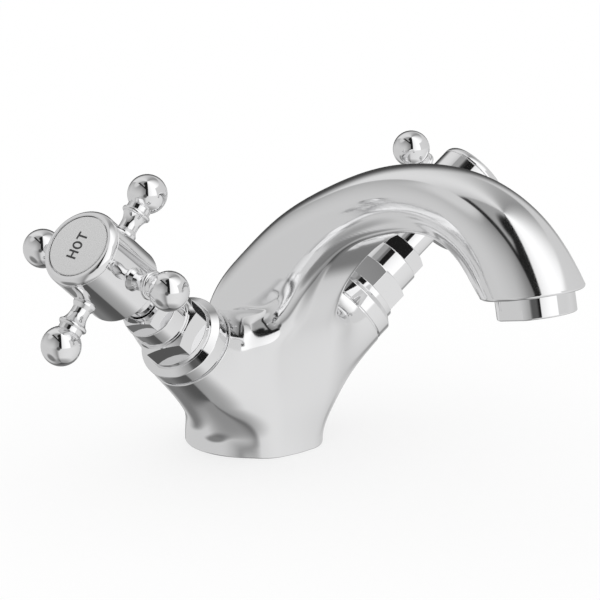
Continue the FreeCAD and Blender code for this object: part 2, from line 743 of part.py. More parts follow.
def spindle_seals(side):
    seals = []
    for number, middle in enumerate(ring_heights()):
        middle_r = ring_floor() + ring_d / 2
        seal = add("Part::Torus", f"{side}_seal_{number}", Radius1=middle_r, Radius2=ring_d / 2)
        seals.append(place(seal, (0, 0, middle), [(0, 0, 0)]))
    return keep(on_valve(group(f"{side}_spindle_seals", seals), side))


def spindle_circlip(side):
    inner = shaft_d / 2 - circlip_depth + slip_gap / 2
    high = circlip_low + circlip_t
    whole = ring(f"{side}_circlip_ring", circlip_d, circlip_d / 2 - inner, circlip_low, high)
    gap = box(f"{side}_circlip_gap", circlip_d, circlip_gap, circlip_low - overrun, high + overrun)
    place(gap, (0, -circlip_gap / 2, circlip_low - overrun), [(0, 0, 0)])
    return keep(on_valve(cut(f"{side}_spindle_circlip", whole, gap), side))


def thrust_washer(side):
    width = disc_d / 2 - shaft_d / 2 - slip_gap
    return keep(on_valve(ring(f"{side}_thrust_washer", disc_d, width, washer_low, washer_top), side))


# Handle pieces
def arm_seat():
    return hub_d / 2 - spot_depth


def arm_turns(side, number):
    """Turns a piece drawn outwards along Z to the direction of one arm."""
    turn = as_size(RIGHT_ANGLE * number) + SIDES[side] * arm_turn
    return (turn, RIGHT_ANGLE, 0)


def handle_hub(side):
    sleeve_low = gland_top - sleeve_entry
    sleeve_bore = head_d / 2 + slip_gap
    recess = index_d / 2
    blank = turned(f"{side}_hub_blank", [
        (sleeve_bore, sleeve_low),
        (sleeve_d / 2, sleeve_low),
        (sleeve_d / 2, hub_low),
        (hub_d / 2 - hub_edge, hub_low, hub_edge),
        (hub_d / 2, hub_low + hub_edge),
        (hub_d / 2, hub_top),
        (recess, hub_top),
        (recess, hub_top - hub_recess),
        (bush_d / 2 + slip_gap / 2, hub_top - hub_recess),
        (bush_d / 2 + slip_gap / 2, bush_low),
        (sleeve_bore, bush_low),
    ])
    seats = []
    for number in range(ARM_COUNT):
        spot = cylinder(f"{side}_spot_{number}", arm_root_d + slip_gap * 2, arm_seat(), hub_d / 2 + overrun)
        hole_low = arm_seat() - spigot_l - slip_gap
        hole = cylinder(f"{side}_arm_hole_{number}", spigot_d + slip_gap, hole_low, hub_d / 2)
        seats.append(place(fuse(f"{side}_seat_{number}", [spot, hole]), (0, 0, arm_level),
                           [arm_turns(side, number)]))
    return keep(on_valve(cut(f"{side}_handle_hub", blank, fuse(f"{side}_arm_seats", seats)), side))


def handle_arm(side, number, name):
    """One turned arm: spigot, foot, stem, bell, bead, neck and ball."""
    ball = ball_d / 2
    neck = arm_neck_d / 2
    seat = arm_seat()
    bead_half = bead_w / 2
    swell = (bead_d - bell_d) / 2
    bell_low = bead_at - bead_half - bell_h
    bell_out = (bell_d - stem_d) / 2
    ball_low = arm_reach - root(ball * ball - neck * neck)
    arm = turned(f"{side}_handle_arm_{name}", [
        (0, seat - spigot_l),
        (spigot_d / 2, seat - spigot_l),
        (spigot_d / 2, seat),
        (arm_root_d / 2, seat),
        (arm_root_d / 2, seat + arm_root_h),
        (stem_d / 2, seat + arm_root_h + arm_root_taper),
        (stem_d / 2, bell_low, -(bell_h * bell_h + bell_out * bell_out) / (bell_out * 2)),
        (bell_d / 2, bead_at - bead_half, (bead_half * bead_half + swell * swell) / (swell * 2)),
        (bell_d / 2, bead_at + bead_half),
        (neck, bead_at + bead_half),
        (neck, ball_low, ball),
        (0, arm_reach + ball),
    ])
    base_turn = valve_turn(side, RIGHT_ANGLE - valve_tilt)
    return keep(place(arm, along_valve(side, arm_level), [base_turn, arm_turns(side, number)]))


def drive_bush(side):
    blank = cylinder(f"{side}_bush_blank", bush_d, bush_low, bush_top)
    socket_top = bush_top - bush_web
    socket_w = square_w + slip_gap
    square = prism(f"{side}_bush_square", SQUARE_SIDE_COUNT, socket_w, bush_low - overrun, socket_top, 0)
    hole = cylinder(f"{side}_bush_hole", screw_d + slip_gap, bush_low, bush_top + overrun)
    bush = cut(f"{side}_drive_bush", blank, fuse(f"{side}_bush_ways", [square, hole]))
    return keep(on_valve(bush, side))


def handle_screw(side):
    head_top = bush_top + screw_head_h
    blank = turned(f"{side}_screw_blank", [
        (0, bush_top - screw_l),
        (screw_d / 2, bush_top - screw_l),
        (screw_d / 2, bush_top),
        (screw_head_d / 2, bush_top),
        (screw_head_d / 2, head_top),
        (0, head_top),
    ])
    key_low = bush_top + screw_head_h / 2
    key = prism(f"{side}_screw_key", HEXAGON_SIDE_COUNT, screw_key, key_low, head_top + overrun, 0)
    return keep(on_valve(cut(f"{side}_handle_screw", blank, key), side))


def index_bezel(side):
    spigot = index_d / 2 - slip_gap
    disc_bore = index_d / 2 + slip_gap
    inner = index_d / 2 - ledge_w
    edge_top = hub_top + bezel_edge_h
    bezel = turned(f"{side}_index_bezel", [
        (inner, bezel_low),
        (spigot, bezel_low),
        (spigot, hub_top),
        (hub_d / 2, hub_top),
        (hub_d / 2, edge_top, bezel_round),
        (bezel_top_d / 2, bezel_top),
        (disc_bore, bezel_top),
        (disc_bore, index_low),
        (inner, index_low),
    ])
    return keep(on_valve(bezel, side))


def index_disc(side):
    edge = index_d / 2
    crown = (edge * edge + index_crown * index_crown) / (index_crown * 2)
    disc = turned(f"{side}_index_disc", [
        (0, index_low),
        (edge, index_low),
        (edge, bezel_top, crown),
        (0, bezel_top + index_crown),
    ])
    return keep(on_valve(disc, side))


# Aerator and foot
def base_gasket():
    return keep(ring("base_gasket", gasket_d, gasket_w, as_size(0), gasket_t))


def aerator_housing():
    thread = aerator_thread_d / 2 - run_gap
    inner = thread - aerator_wall
    outer = aerator_d / 2
    blank = turned("aerator_blank", [
        (inner - lip_w, 0),
        (outer - aerator_edge, 0),
        (outer, aerator_edge),
        (outer, aerator_show),
        (thread, aerator_show),
        (thread, aerator_top),
        (inner, aerator_top),
        (inner, lip_t),
        (inner - lip_w, lip_t),
    ])
    flats = []
    for number, sign in enumerate((-1, 1)):
        flat = box(f"aerator_flat_{number}", aerator_d, aerator_d, -overrun, aerator_flat_h)
        middle = sign * (aerator_flats + aerator_d) / 2
        flats.append(place(flat, (middle - aerator_d / 2, -aerator_d / 2, -overrun), [(0, 0, 0)]))
    return keep(on_outlet(cut("aerator_housing", blank, fuse("aerator_flats_pair", flats))))


def perforated(label, hole_d, low, high):
    """A round plate in the housing, with a middle hole and rings of holes round it."""
    diameter = aerator_thread_d - run_gap * 2 - aerator_wall * 2 - slip_gap * 2
    holes = [cylinder(f"{label}_middle", hole_d, low - overrun, high + overrun)]
    for ring_number in range(1, OUTLET_RING_COUNT + 1):
        count = FIRST_RING_HOLE_COUNT * ring_number
        for number in range(count):
            angle = 2 * math.pi * number / count
            hole = cylinder(f"{label}_hole_{ring_number}_{number}", hole_d, low - overrun, high + overrun)
            spread = outlet_ring_step * ring_number
            at = (spread * math.cos(angle), spread * math.sin(angle), low - overrun)
            holes.append(place(hole, at, [(0, 0, 0)]))
    plate = cut(label, cylinder(f"{label}_plate", diameter, low, high), fuse(f"{label}_holes", holes))
    return keep(on_outlet(plate))


def aerator_seal():
    diameter = aerator_thread_d - slip_gap * 2
    return keep(on_outlet(ring("aerator_seal", diameter, outlet_seal_w, aerator_top, aerator_socket_top)))


body_casting()
base_gasket()
aerator_housing()
perforated("aerator_mesh", mesh_hole_d, mesh_low, insert_low)
perforated("aerator_insert", insert_hole_d, insert_low, insert_low + insert_h)
aerator_seal()
VALVE_PIECES = [
    valve_collar,
    headwork_body,
    gland_nut,
    seat_seal,
    disc_fixed,
    disc_moving,
    spindle,
    spindle_seals,
    spindle_circlip,
    thrust_washer,
    handle_hub,
    drive_bush,
    handle_screw,
    index_bezel,
    index_disc,
]
ARM_NAMES = {"hot": ["lower", "front", "upper", "rear"], "cold": ["lower", "rear", "upper", "front"]}
for valve in SIDES:
    for make_piece in VALVE_PIECES:
        make_piece(valve)
    for arm_number, arm_name in enumerate(ARM_NAMES[valve]):
        handle_arm(valve, arm_number, arm_name)

doc.recompute()
for item in doc.Objects:
    if "Invalid" in item.State or "Error" in item.State:
        raise RuntimeError(f"{item.Label} could not be worked out: {item.State}")
for label, piece in sub_parts.items():
    if piece.Shape.isNull() or not piece.Shape.isValid() or not piece.Shape.Solids:
        raise RuntimeError(f"{label} has no valid solid")

os.makedirs("parts", exist_ok=True)
for label, piece in sub_parts.items():
    piece.Shape.exportStep(f"parts/{label}.step")
    print(f"{label}: {len(piece.Shape.Solids)} solid(s), {piece.Shape.Volume:.1f} mm3")
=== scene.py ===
"""Looks of the basin mixer tap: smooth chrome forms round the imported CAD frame, in a plain studio.

Sizes are in millimetres and become metres where a mesh is made. A valve piece is drawn along its own valve
axis, with its height measured from the point where both valve axes cross inside the body. An outlet piece is
drawn upwards from the aerator's mouth.
"""
import math

import bmesh
import bpy
import numpy as np
from mathutils import Matrix, Vector
from mathutils.geometry import tessellate_polygon

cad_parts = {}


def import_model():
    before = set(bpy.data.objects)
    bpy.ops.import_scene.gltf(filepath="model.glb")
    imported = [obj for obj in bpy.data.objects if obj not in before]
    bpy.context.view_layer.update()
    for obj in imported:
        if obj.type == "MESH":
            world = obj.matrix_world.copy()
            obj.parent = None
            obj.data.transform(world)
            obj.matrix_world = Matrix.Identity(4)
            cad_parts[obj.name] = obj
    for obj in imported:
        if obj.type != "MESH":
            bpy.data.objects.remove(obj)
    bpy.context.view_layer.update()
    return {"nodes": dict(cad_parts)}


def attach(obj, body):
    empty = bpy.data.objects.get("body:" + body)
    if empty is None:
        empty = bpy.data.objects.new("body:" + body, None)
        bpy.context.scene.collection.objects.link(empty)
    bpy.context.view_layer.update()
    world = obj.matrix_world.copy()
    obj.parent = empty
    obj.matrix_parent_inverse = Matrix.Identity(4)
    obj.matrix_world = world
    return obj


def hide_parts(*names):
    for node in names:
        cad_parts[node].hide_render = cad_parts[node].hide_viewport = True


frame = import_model()

MM = 0.001
SIDES = {"hot": -1, "cold": 1}

# Camera, at the photograph's angle
CAMERA_AT = Vector((-539.76, -634.0, 260.3))
CAMERA_TARGET = Vector((19.87, -1.83, 46.63))
CAMERA_LENS = 149.47
CAMERA_SENSOR = 36.0
CAMERA_CLIP = (0.05, 20.0)

# Body
BASE_D = 48.0
FOOT_EDGE_H = 2.0
FOOT_H = 28.0
FOOT_TOP_D = 24.0
FOOT_ROUND = 0.5
HORN_ROOT_D = 45.0
VALVE_TILT = 39.0
VALVE_SWEEP = 12.0
VALVE_CROSSING = Vector((0.0, -1.0, 12.3))
BOSS_REACH = 47.0
BOSS_D = 30.6
BOSS_ROUND = 0.4
CHAMBER_D = 21.0
CHAMBER_DEPTH = 19.0
SPOUT_REACH = 131.7
SPOUT_RISE = 98.4
SPOUT_D = 23.4
SPOUT_END_D = 32.0
SPOUT_END_RISE = 0.777 * SPOUT_RISE
SPOUT_LEAN = 12.0
SPOUT_ROUND = 1.1
GASKET_GROOVE_D = 43.2
GASKET_GROOVE_W = 3.2
GASKET_GROOVE_H = 2.1
INLET_AT = (12.163, -3.585)
INLET_D = 8.92
INLET_DEPTH = 12.0
STUD_AT = (0.0, 12.5)
STUD_D = 6.65
STUD_DEPTH = 12.0

# Reach of the smoothing between the forms of the casting, and its share at the foot
HORN_BLEND = 16.0
FOOT_BLEND = 10.0
SPOUT_BLEND = 3.0
THROAT_BLEND = 20.0
CREASE_BLEND = 1.6
CREASE_LOW = 44.0
CREASE_HIGH = 60.0
FLAT_BLEND = 1.5
GRADIENT_STEP = 0.02
LOW_BLEND_SHARE = 0.12
LOW_BLEND_H = 20.0
END_RUN = 5.0

# How the casting's surface is found: rough skin, search along each bar, then settling and evening
VOXEL = 0.8
ROUGH_SIDES = 32
ROUGH_STRIDE = 4
BAR_SAMPLES = 201
BLOCK = 4000
SEARCH_TURNS = 5
SEARCH_REACH = 6.0
LEAST_PACE = 0.2
SETTLE_TURNS = 20
EVEN_TURNS = 12
EVEN_SHARE = 0.5

# Shares of the foot-to-boss run: reach, height, tilt, and width between the root and the boss
HORN_SHARES = [
    (0.03, 0.03, 0.03, 0.04),
    (0.04, 0.1, 0.14, 0.13),
    (0.075, 0.196, 0.333, 0.252),
    (0.225, 0.4, 0.667, 0.485),
    (0.458, 0.606, 0.873, 0.696),
    (0.726, 0.807, 0.98, 0.877),
    (1.0, 1.0, 1.0, 1.0),
]

# Along the spout: shares of its reach and rise, its lean from upright, shares of its swelling and flare, then
# how far its round is drawn out to the underside and where the flat of its underside lies
SPOUT_SHARES = [
    (-0.005, 0.02, 0.0, 0.74, 0.0, 0.0, 30.0),
    (-0.027, 0.122, -1.8, 0.81, 0.0, 0.0, 30.0),
    (-0.049, 0.244, 8.0, 0.57, 0.0, 2.0, 28.0),
    (-0.06, 0.347, 22.0, 0.15, 0.0, 12.0, 27.0),
    (-0.046, 0.442, 34.0, 0.02, 0.0, 21.0, 27.0),
    (0.059, 0.606, 43.4, 0.0, 0.0, 18.0, 26.0),
    (0.192, 0.752, 53.5, 0.0, 0.0, 10.0, 20.0),
    (0.352, 0.873, 64.4, 0.0, 0.0, 4.0, 11.6),
    (0.51, 0.959, 74.4, 0.0, 0.0, 1.4, 9.0),
    (0.654, 0.998, 91.3, 0.0, 0.0, 0.8, 8.0),
    (0.791, 0.984, 110.4, 0.0, 0.26, 0.6, 9.0),
    (0.917, 0.899, 135.4, 0.0, 0.65, 0.3, 11.2),
    (1.0, 0.777, 168.0, 0.0, 1.0, 0.0, 12.6),
]

# Along the throat, which runs from the foot's front up and under the spout: the forward reach and the height
# of its face, its lean from upright, half its width, half its depth, and the rounding of its edges
THROAT_ROWS = [
    (23.4, 4.0, 0.0, 16.0, 10.0, 9.5),
    (24.2, 16.0, 5.0, 18.0, 10.0, 9.5),
    (25.4, 28.0, 9.0, 21.0, 11.0, 10.0),
    (27.4, 38.0, 14.0, 21.5, 12.0, 9.5),
    (28.7, 42.0, 17.0, 20.5, 11.0, 8.5),
    (30.2, 46.0, 20.5, 15.5, 7.5, 6.5),
    (33.2, 51.8, 26.0, 12.2, 5.5, 5.0),
    (38.8, 61.0, 34.5, 10.8, 5.2, 4.6),
    (46.0, 69.8, 44.0, 10.6, 5.2, 4.0),
    (53.2, 76.2, 54.0, 10.4, 5.2, 3.2),
    (63.2, 82.2, 64.0, 10.4, 5.6, 2.6),
    (73.2, 86.0, 72.5, 10.4, 5.2, 2.4),
    (88.2, 89.2, 90.0, 10.4, 5.0, 2.3),
    (102.4, 87.2, 108.5, 10.4, 5.0, 2.3),
    (110.1, 82.2, 124.0, 10.6, 5.0, 2.2),
    (118.9, 73.9, 160.0, 11.0, 5.0, 2.0),
]

# Valve, as heights along its axis and sizes across
COLLAR_D = 30.0
COLLAR_TOP_D = 25.6
COLLAR_BEVEL_H = 1.9
COLLAR_ROUND = 0.6
COLLAR_TOP = 54.5
GROOVE_D = 28.8
GROOVE_H = 0.7
SHOULDER_TOP = 56.7
HEX_FLATS = 21.5
HEX_TOP = 64.8
HEX_TURN = 26.0
HEX_CHAMFER = math.radians(30)
HEX_HALF = math.pi / 6
HEX_ALONG = 6
HEX_CORNER = 4
BARREL_D = 19.4
BARREL_TOP = 72.3
BARREL_ROUND = 0.4
GLAND_FLATS = 16.0
GLAND_TOP = 78.0
GLAND_TURN = 14.0
GLAND_THREAD_D = 15.0
GLAND_THREAD_L = 4.2
GLAND_SOCKET_L = 6.3
GLAND_PLAY = 0.1
GLAND_MOUTH_H = 2.5
GLAND_MOUTH_PLAY = 0.4
THREAD_D = 20.8
THREAD_LOW = 37.5
CAGE_D = 19.0
CAGE_INNER_D = 16.6
CAGE_LOW = 28.6
CAGE_ROOF = 41.24
SHAFT_BORE_D = 10.12
SMALL_ROUND = 0.25

# Handle
SLEEVE_D = 11.4
SLEEVE_BORE_D = 8.2
SLEEVE_LOW = 76.3
HUB_D = 26.4
HUB_LOW = 89.7
HUB_TOP = 114.0
HUB_EDGE = 0.8
HUB_RECESS = 2.0
BUSH_SOCKET_D = 13.1
BUSH_LOW = 92.2
ARM_LEVEL = 100.8
ARM_TURN = 6.7
ARM_SEAT = 12.6
ARM_REACH = 28.3
ARM_ROOT_D = 7.6
ARM_ROOT_H = 1.0
ARM_ROOT_TAPER = 1.3
STEM_D = 6.0
BELL_D = 8.3
BELL_H = 3.6
BEAD_D = 9.6
BEAD_W = 1.6
BEAD_AT = 20.8
ARM_NECK_D = 7.9
BALL_D = 12.9
BEZEL_LOW = 112.1
BEZEL_EDGE_H = 0.6
BEZEL_TOP = 116.8
BEZEL_TOP_D = 23.6
BEZEL_ROUND = 3.2
INDEX_D = 21.2
INDEX_LOW = 115.1
INDEX_CROWN = 0.3
INDEX_GAP = 0.15
DISC_EDGE = 0.4
LEDGE_W = 2.2

# Aerator
AERATOR_D = 24.6
AERATOR_SHOW = 6.6
AERATOR_TOP = 14.1
AERATOR_SOCKET_TOP = 16.1
AERATOR_EDGE = 0.5
AERATOR_SOCKET_D = 22.9
AERATOR_THREAD_D = 22.78
AERATOR_INNER_D = 20.58
AERATOR_FLATS = 22.5
AERATOR_FLAT_H = 3.3
AERATOR_STEP = 2.0
AERATOR_EDGE_STEPS = 4
LIP_W = 0.9
LIP_T = 1.2

# Lettering of the index discs
LETTER_H = 3.9
LETTER_W = 2.7
LETTER_STROKE = 0.62
LETTER_STEP = 3.25
LETTER_T = 0.06
LETTER_ARC_COUNT = 40
C_GAP = 48.0
WORD_TURNS = {"hot": 180.0, "cold": 0.0}

# Studio
EVEN_LIGHT = 0.95
FLOOR_SIZE = 8000.0
FLOOR_DROP = 0.05
FLOOR_SHADE = 0.35
RIGHT_CARD = 0.66
BACK_WALL = 0.06
DARK_GAP = 0.012
CEILING = 0.36
LEFT_GLOW = 0.66
FLOOR_WEDGE = 0.16
FLOOR_LEFT = 0.22
FLOOR_BACK = 0.2
FLOOR_HORIZON = 0.06
SIDE_SLOT = 0.1

# Meshes
WELD = 1e-4
ARC_STEP = 7.5
ROUND_COUNT = 96
ARM_COUNT = 64
HOLE_COUNT = 48
RIM_STEPS = 5

# Materials: two colours, two roughnesses, the grain's scale, the strength of its bump, and how metallic
CHROME_COLOUR = (0.9, 0.9, 0.905, 1)
CHROME_GRAIN = 60.0
GRAIN_DETAIL = 3.0
BUMP_DEPTH = 0.0002
GRAINS = {
    "turned_brass": ((0.62, 0.44, 0.19), (0.72, 0.53, 0.25), 0.22, 0.36, 900.0, 0.15, 1.0),
    "steel": ((0.5, 0.5, 0.5), (0.62, 0.62, 0.61), 0.25, 0.4, 1200.0, 0.15, 1.0),
    "seal_rubber": ((0.012, 0.012, 0.013), (0.028, 0.028, 0.03), 0.55, 0.75, 1500.0, 0.2, 0.0),
    "ceramic": ((0.82, 0.8, 0.75), (0.88, 0.87, 0.83), 0.12, 0.22, 1800.0, 0.05, 0.0),
    "washer_plastic": ((0.7, 0.7, 0.68), (0.78, 0.78, 0.76), 0.4, 0.55, 1500.0, 0.1, 0.0),
    "insert_plastic": ((0.75, 0.77, 0.8), (0.83, 0.85, 0.87), 0.35, 0.5, 1500.0, 0.1, 0.0),
    "index_white": ((0.66, 0.66, 0.66), (0.7, 0.7, 0.7), 0.16, 0.24, 700.0, 0.03, 0.0),
    "letter_grey": ((0.03, 0.03, 0.032), (0.05, 0.05, 0.052), 0.35, 0.5, 1500.0, 0.05, 0.0),
}
NODE_GRAINS = {
    "base_gasket": "seal_rubber",
    "aerator_mesh": "steel",
    "aerator_insert": "insert_plastic",
    "aerator_seal": "seal_rubber",
    "seat_seal": "seal_rubber",
    "ceramic_disc_fixed": "ceramic",
    "ceramic_disc_moving": "ceramic",
    "spindle": "turned_brass",
    "spindle_seals": "seal_rubber",
    "spindle_circlip": "steel",
    "thrust_washer": "washer_plastic",
    "drive_bush": "turned_brass",
    "handle_screw": "steel",
}


def valve_matrix(side):
    """From a valve's own frame to the row frame."""
    yaw = 180 + VALVE_SWEEP if side == "hot" else -VALVE_SWEEP
    turn = Matrix.Rotation(math.radians(yaw), 4, "Z") @ Matrix.Rotation(math.radians(90 - VALVE_TILT), 4, "Y")
    return Matrix.Translation(VALVE_CROSSING) @ turn


def outlet_direction():
    lean = math.radians(SPOUT_LEAN)
    return Vector((0, -math.sin(lean), -math.cos(lean)))


def outlet_matrix():
    mouth = Vector((0, -SPOUT_REACH, SPOUT_END_RISE)) + AERATOR_SHOW * outlet_direction()
    return Matrix.Translation(mouth) @ Matrix.Rotation(math.radians(-SPOUT_LEAN), 4, "X")


def arm_matrix(side, number):
    """From an arm's own frame, drawn outwards from the valve axis, to the row frame."""
    angle = math.radians(90 * number + SIDES[side] * ARM_TURN)
    lying = Matrix.Rotation(math.radians(90), 4, "Y")
    level = Matrix.Translation((0, 0, ARM_LEVEL))
    return valve_matrix(side) @ level @ Matrix.Rotation(angle, 4, "Z") @ lying


# Materials
class Sums:
    """Numbers that a node tree works out."""

    def __init__(self, tree):
        self.tree = tree

    def node(self, kind, values, **settings):
        made = self.tree.nodes.new(kind)
        for name, value in settings.items():
            setattr(made, name, value)
        for socket, value in values.items():
            if isinstance(value, bpy.types.NodeSocket):
                self.tree.links.new(value, made.inputs[socket])
            else:
                made.inputs[socket].default_value = value
        return made

    def maths(self, operation, first, second=0.0):
        return self.node("ShaderNodeMath", {0: first, 1: second}, operation=operation).outputs[0]

    def product(self, first, *others):
        for other in others:
            first = self.maths("MULTIPLY", first, other)
        return first

    def vector(self, operation, first, second, output=0):
        return self.node("ShaderNodeVectorMath", {0: first, 1: second}, operation=operation).outputs[output]

    def edge(self, low, high, value):
        """Rises smoothly from 0 at low to 1 at high."""
        values = {"Value": value, "From Min": low, "From Max": high}
        return self.node("ShaderNodeMapRange", values, interpolation_type="SMOOTHSTEP").outputs[0]

    def mix(self, first, second, share):
        return self.node("ShaderNodeMix", {0: share, 2: first, 3: second}).outputs[0]


def shader(name, **values):
    material = bpy.data.materials.new(name)
    material.use_nodes = True
    principled = material.node_tree.nodes["Principled BSDF"]
    for socket, value in values.items():
        principled.inputs[socket.replace("_", " ").title().replace("Ior", "IOR")].default_value = value
    return material, Sums(material.node_tree), principled.inputs


def noise(sums, scale):
    place = sums.node("ShaderNodeTexCoord", {}).outputs["Object"]
    values = {"Vector": place, "Scale": scale, "Detail": GRAIN_DETAIL}
    return sums.node("ShaderNodeTexNoise", values).outputs["Fac"]


def spread(sums, value, low, high):
    return sums.node("ShaderNodeMapRange", {"Value": value, "To Min": low, "To Max": high}).outputs["Result"]


def chrome_material(name, rough_low, rough_high):
    material, sums, inputs = shader(name, base_color=CHROME_COLOUR, metallic=1.0)
    sums.tree.links.new(spread(sums, noise(sums, CHROME_GRAIN), rough_low, rough_high), inputs["Roughness"])
    return material


def grained_material(name, low, high, rough_low, rough_high, scale, bump, metallic):
    """A plain material whose colour, roughness and surface vary with one fine noise."""
    material, sums, inputs = shader(name, metallic=metallic)
    grain = noise(sums, scale)
    tint = sums.node("ShaderNodeMix", {"Factor": grain, "A": (*low, 1), "B": (*high, 1)}, data_type="RGBA")
    raised = sums.node("ShaderNodeBump", {"Height": grain, "Strength": bump, "Distance": BUMP_DEPTH})
    sums.tree.links.new(tint.outputs["Result"], inputs["Base Color"])
    sums.tree.links.new(spread(sums, grain, rough_low, rough_high), inputs["Roughness"])
    sums.tree.links.new(raised.outputs["Normal"], inputs["Normal"])
    return material


chrome = chrome_material("polished_chrome", 0.03, 0.06)
cast_chrome = chrome_material("cast_chrome", 0.08, 0.11)
grained = {name: grained_material(name, *row) for name, row in GRAINS.items()}


# Meshes
def from_axis(point, centre, axis):
    """The unit direction to a point, square to an axis through a centre."""
    across = point - centre
    return (across - axis * across.dot(axis)).normalized()


class Skin:
    """Faces whose corners each carry a point and a normal of their own."""

    def __init__(self):
        self.faces = []

    def face(self, corners):
        """Adds a face from pairs of point and normal, without the corners that fall together."""
        kept = []
        for number, corner in enumerate(corners):
            if (corner[0] - corners[number - 1][0]).length > WELD:
                kept.append(corner)
        if len(kept) > 2:
            self.faces.append(kept)

    def band(self, low, high, low_normals, high_normals):
        for here in range(len(low)):
            after = (here + 1) % len(low)
            self.face([
                (low[here], low_normals[here]),
                (low[after], low_normals[after]),
                (high[after], high_normals[after]),
                (high[here], high_normals[here]),
            ])

    def flat_band(self, low, high, normal):
        normals = [normal] * len(low)
        self.band(low, high, normals, normals)

    def wall(self, low, high, centre, inward):
        """A band round an axis, with normals from or to the centre line of its lower ring."""
        axis = (high[0] - low[0]).normalized()
        normals = [from_axis(point, centre, axis) * (-1 if inward else 1) for point in low]
        self.band(low, high, normals, normals)

    def disc(self, ring, centre, normal):
        self.flat_band(ring, [centre] * len(ring), normal)

    def filled(self, loops, normal):
        """A flat face within the first loop and outside the others."""
        points = [point for loop in loops for point in loop]
        for triangle in tessellate_polygon(loops):
            corners = [points[index] for index in triangle]
            if (corners[1] - corners[0]).cross(corners[2] - corners[0]).dot(normal) < 0:
                corners.reverse()
            self.face([(corner, normal) for corner in corners])

    def mesh(self, name, matrix=None):
        points, numbers, faces, normals = [], {}, [], []
        turn = matrix.to_3x3() if matrix else None
        for corners in self.faces:
            face = []
            for point, normal in corners:
                key = tuple(round(value / WELD) for value in point)
                if key not in numbers:
                    numbers[key] = len(points)
                    points.append((matrix @ point if matrix else point) * MM)
                face.append(numbers[key])
                normals.append(turn @ normal if turn else normal)
            faces.append(face)
        mesh = bpy.data.meshes.new(name)
        mesh.from_pydata(points, [], faces)
        mesh.polygons.foreach_set("use_smooth", [True] * len(mesh.polygons))
        mesh.normals_split_custom_set(normals)
        return mesh


def add_piece(name, skin, matrix, material, slot, body, *nodes):
    mesh = skin.mesh(name, matrix)
    piece = bpy.data.objects.new(name, mesh)
    bpy.context.scene.collection.objects.link(piece)
    mesh.materials.append(material)
    if nodes:
        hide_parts(*nodes)
    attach(piece, body)


def outward(direction):
    return Vector((direction.y, -direction.x))


def rounded_corner(before, point, after, bend):
    """The runs of a rounded corner between two straight directions."""
    turn = math.atan2(before.cross(after), before.dot(after))
    sign = 1 if turn > 0 else -1
    enter = point - before * bend * math.tan(abs(turn) / 2)
    first = outward(before)
    centre = enter - first * bend * sign
    steps = max(2, math.ceil(abs(math.degrees(turn)) / ARC_STEP))
    normals = [Matrix.Rotation(turn * step / steps, 2) @ first for step in range(steps + 1)]
    points = [centre + normal * bend * sign for normal in normals]
    return list(zip(points, normals, points[1:], normals[1:]))


def arc_run(start, end, bend):
    """The runs of an arc between two corners, hollow where the bend is negative."""
    chord = end - start
    sign = 1 if bend > 0 else -1
    left = Vector((-chord.y, chord.x)).normalized()
    centre = (start + end) / 2 + left * sign * math.sqrt(max(bend ** 2 - chord.length_squared / 4, 0))
    first = (start - centre) * sign
    last = (end - centre) * sign
    turn = math.atan2(first.cross(last), first.dot(last))
    steps = max(2, math.ceil(abs(math.degrees(turn)) / ARC_STEP))
    normals = [(Matrix.Rotation(turn * step / steps, 2) @ first).normalized() for step in range(steps + 1)]
    points = [centre + normal * bend for normal in normals]
    return list(zip(points, normals, points[1:], normals[1:]))


def outline(corners, closed=True):
    """The runs of a profile drawn anticlockwise: two ends each, with the outward normals there.

    A corner is a radius and a height, then the size of its rounding, then the bend of an arc to the next one.
    """
    rows = [tuple(corner) + (0,) * (4 - len(corner)) for corner in corners]
    points = [Vector(row[:2]) for row in rows]
    count = len(rows)
    ways = [(points[(number + 1) % count] - points[number]).normalized() for number in range(count)]
    runs = []
    bends = {}
    for number, (_, _, bend, _) in enumerate(rows):
        if bend:
            bends[number] = rounded_corner(ways[number - 1], points[number], ways[number], bend)
    for number in range(count):
        after = (number + 1) % count
        if number in bends:
            runs += bends[number]
        if not closed and number == count - 1:
            break
        if rows[number][3]:
            runs += arc_run(points[number], points[after], rows[number][3])
        else:
            start = bends[number][-1][2] if number in bends else points[number]
            end = bends[after][0][0] if after in bends else points[after]
            normal = outward(ways[number])
            runs.append((start, normal, end, normal))
    return runs


def round_angles(count=ROUND_COUNT):
    return [2 * math.pi * number / count for number in range(count)]


def circle(radius, height, angles):
    return [Vector((radius * math.cos(angle), radius * math.sin(angle), height)) for angle in angles]


def turn_runs(skin, runs, angles):
    for start, start_normal, end, end_normal in runs:
        skin.band(circle(*start, angles), circle(*end, angles),
                  circle(*start_normal, angles), circle(*end_normal, angles))
    return skin


def turned(corners, closed=True, count=ROUND_COUNT):
    return turn_runs(Skin(), outline(corners, closed), round_angles(count))


# The casting as one smooth form
def natural_spline(knots, values):
    """Second differences of the natural cubic spline through the rows of values."""
    count = len(knots)
    steps = np.diff(knots)
    system = np.eye(count)
    right = np.zeros(values.shape)
    for row in range(1, count - 1):
        system[row, row - 1:row + 2] = steps[row - 1], 2 * (steps[row - 1] + steps[row]), steps[row]
        rise = (values[row + 1] - values[row]) / steps[row]
        right[row] = 6 * (rise - (values[row] - values[row - 1]) / steps[row - 1])
    return np.linalg.solve(system, right)


